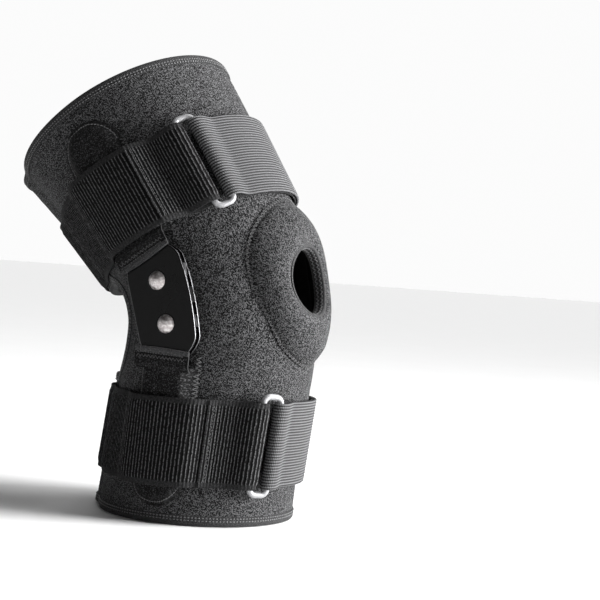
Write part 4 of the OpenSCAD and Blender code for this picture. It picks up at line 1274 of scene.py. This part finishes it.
def ridge_shape(length, y):
    return RIDGE_H * (np.cos(2 * math.pi * y / RIDGE_PITCH) * plateau(y, 2.0, STRAP_W - 2.0, 0.8))


def ring_turn(bar, r, start):
    """Half a turn of webbing round a ring's bar, as (angle, lift) points."""
    return [(bar + FOLD_R * math.cos(a) / r, BAR_LIFT + FOLD_R * math.sin(a))
            for a in np.radians(np.arange(start, start + 181, 10))]


def strap(word):
    line, angle, pk = LINES[word], RING_ANGLE[word], POCKET_ANGLE[word]
    r = arc_mm(angle, line_s(angle, line))
    bar = angle + BAR_HALF / r
    anchor = []
    for t in np.linspace(1, 0, 25):
        a = bar + mix(2, ANCHOR_L, t) / r
        over = float(strap_height(a, pk)) + LAYER_LIFT
        anchor.append((a, float(mix(BAR_LIFT + FOLD_R, over, smooth(t * 2)))))
    first, last = bar + 9 / r, angle - BAR_HALF / r + 360
    lead = BAR_LIFT - FOLD_R
    around = []
    for a in np.arange(first, last + 0.001, 0.8):
        h = float(strap_height(a, pk))
        h = mix(h, max(h, lead - 0.1), float(smooth((a - last + 11 / r) / (10 / r))))
        around.append((a, h))
    path = anchor + ring_turn(bar, r, 90) + around
    obj = band(f"{word}_strap_band", path, line, r, step=0.56, cells=22, shape=pile_shape, mats=[PILE])
    finish_piece(obj, body=word, replaced=(f"{word}_strap",))
    # Two rows of stitches hold the fold's end down
    pairs = []
    for t in (ANCHOR_L - 3.0, ANCHOR_L - 6.0):
        v = np.linspace(0.06, 0.94, 24)
        over = float(strap_height(bar + t / r, pk)) + LAYER_LIFT
        h = float(mix(BAR_LIFT + FOLD_R, over, smooth(2 * (t - 2) / (ANCHOR_L - 2)))) + STRAP_T / 2 + RIB_H
        p = band_point(np.full(len(v), bar + t / r), line, h, v)
        pairs.append(dashes(p, 0.12, 0.82))
    sew(f"{word}_anchor_stitches", pairs, 0.24, THREAD, body=word)


def tab_half(half, u):
    """Half a hook tab's width along its length; its last two fifths round off."""
    return half * np.maximum(np.sqrt(1 - clamp((u - 0.6) / 0.4)**2), 0.5)


def strap_tail(word):
    line, angle = LINES[word], RING_ANGLE[word]
    r = arc_mm(angle, line_s(angle, line))
    bar, over = angle - BAR_HALF / r, STRAP_LIFT + STRAP_T / 2 + LAYER_LIFT
    down = [(bar - TAIL_FROM * t / r, float(mix(BAR_LIFT + FOLD_R, over, smooth(t))))
            for t in np.linspace(0.05, 1, 18)]
    lie = [(a, over) for a in np.arange(bar - (TAIL_FROM + 4) / r, TAIL_END, -1.5)]
    path = ring_turn(bar, r, -90) + down + lie
    obj = band(f"{word}_tail_band", path, line, r, step=1.1, cells=100, shape=ridge_shape,
               mats=[WEBBING])
    finish_piece(obj, body=f"{word}_strap_tail", replaced=(f"{word}_strap_tail",))
    u, v = np.linspace(0, 1, 34)[:, None], np.linspace(-1, 1, 25)[None, :]
    half = tab_half(STRAP_W / 2 - 2, u)
    a = mix(TAIL_END + HOOK_ON_TAIL, TAIL_END - HOOK_BEYOND, u) + 0 * v
    s = line_s(a, line) + half * v
    # Past the tail's end the tab comes down to the strap under it
    step = LAYER_LIFT * (1 - smooth((u - HOOK_ON_TAIL / (HOOK_ON_TAIL + HOOK_BEYOND)) / 0.4)) + RIDGE_H
    lift = strap_height(360 + a, POCKET_ANGLE[word]) + STRAP_T / 2 + 0.4 + step
    across = 0.5 + half * v / STRAP_W
    top, low = band_point(a, line, lift + TAB_T, across), band_point(a, line, lift, across)
    uv = np.stack([a * 1.05, s], -1)
    obj = thick_sheet(f"{word}_strap_tab", top, low, uv, [HEM, HOOK, HEM])
    finish_piece(obj, body=f"{word}_strap_tail", replaced=(f"{word}_strap_hook_tab",))


def wrap_tab(word):
    """The sleeve's own hook tab, sewn under the wing's end."""
    u, v = np.linspace(0, 1, 40)[:, None], np.linspace(-1, 1, 27)[None, :]
    a, s = mix(TAB_START, TAB_END, u) + 0 * v, WING_MID[word] + tab_half(TAB_HALF, u) * v
    top, low = skin(a, s, 0.3 + TAB_T), skin(a, s, 0.3)
    uv = np.stack([a * 1.05, s], -1)
    obj = thick_sheet(f"{word}_wing_tab", top, low, uv, [HEM, HOOK, HEM])
    finish_piece(obj, body=word, replaced=(f"{word}_wrap_hook_tab",))


# ---------------------------------------------------------------- build
sleeve()
edge_binding()
patella_pad()
patella_liner()
for word, side in (("lateral", 1), ("medial", -1)):
    plates(side, word)
    rivet_shade_rings(side, word)
    for part in ("calf", "thigh"):
        pocket(part, word, side)
        pocket_stitches(part, word, side)
        hem(part, word, side)
for part in ("calf", "thigh"):
    strap(part)
    strap_tail(part)
    wrap_tab(part)
frame_materials()


# ---------------------------------------------------------------- floor and light
BACKDROP_TOWARDS = (0.866, 0.5, 0.0)


def stage():
    # In metres: half the floor's width, and how far it lies below the part
    half, drop = 60.0, 0.0002
    corners = [(-half, -half, 0), (half, -half, 0), (half, half, 0), (-half, half, 0)]
    me = bpy.data.meshes.new("floor")
    me.from_pydata(corners, [], [(0, 1, 2, 3)])
    me.materials.append(floor_look())
    obj = add_object("floor", me)
    obj.location.z = -drop


def studio():
    """A dim room with a white backdrop on the side that the camera looks towards."""
    world = bpy.data.worlds.new("studio")
    bpy.context.scene.world = world
    world.use_nodes = True
    nodes, links = world.node_tree.nodes, world.node_tree.links

    def add(kind):
        return nodes.new("ShaderNode" + kind)

    def fade(value, *levels):
        step = add("MapRange")
        step.interpolation_type = "SMOOTHSTEP"
        for key, level in zip(("From Min", "From Max", "To Min", "To Max"), levels):
            step.inputs[key].default_value = level
        links.new(value, step.inputs["Value"])
        return step.outputs[0]

    coord, dot, height, both = (add(kind) for kind in ("TexCoord", "VectorMath", "SeparateXYZ", "Math"))
    dot.operation, both.operation = "DOT_PRODUCT", "MAXIMUM"
    dot.inputs[1].default_value = BACKDROP_TOWARDS
    links.new(coord.outputs["Generated"], dot.inputs[0])
    links.new(coord.outputs["Generated"], height.inputs[0])
    links.new(fade(dot.outputs["Value"], 0.5, 0.93, 0.01, 0.97), both.inputs[0])
    # A pale band stands along the horizon all round
    links.new(fade(height.outputs["Z"], 0.1, 0.24, 0.6, 0.01), both.inputs[1])
    links.new(both.outputs[0], nodes["Background"].inputs["Strength"])
    nodes["Background"].inputs["Color"].default_value = (1, 1, 1, 1)


def add_light(data, at, direction, axis):
    obj = add_object(data.name, data)
    obj.location = at
    obj.rotation_mode = "QUATERNION"
    obj.rotation_quaternion = Vector(direction).to_track_quat(axis, "Y")


def sky(towards, power):
    data = bpy.data.lights.new("sky", "SUN")
    data.energy, data.angle = power, math.radians(40)
    add_light(data, (0, 0, 0), towards, "Z")


def softbox(name, at, aim, size, power):
    data = bpy.data.lights.new(name, "AREA")
    data.shape, data.size, data.size_y, data.energy = "RECTANGLE", size[0], size[1], power
    add_light(data, at, Vector(aim) - Vector(at), "-Z")


stage()
studio()
softbox("key", (0.5, -1.3, 0.36), (0, 0, 0.14), (0.7, 0.7), 74)
softbox("side", (-1.0, -0.9, 0.6), (0, 0, 0.16), (0.6, 0.6), 2)
sky((0.35, -0.5, 1.0), 3.2)
bpy.context.scene.view_settings.view_transform = "Standard"
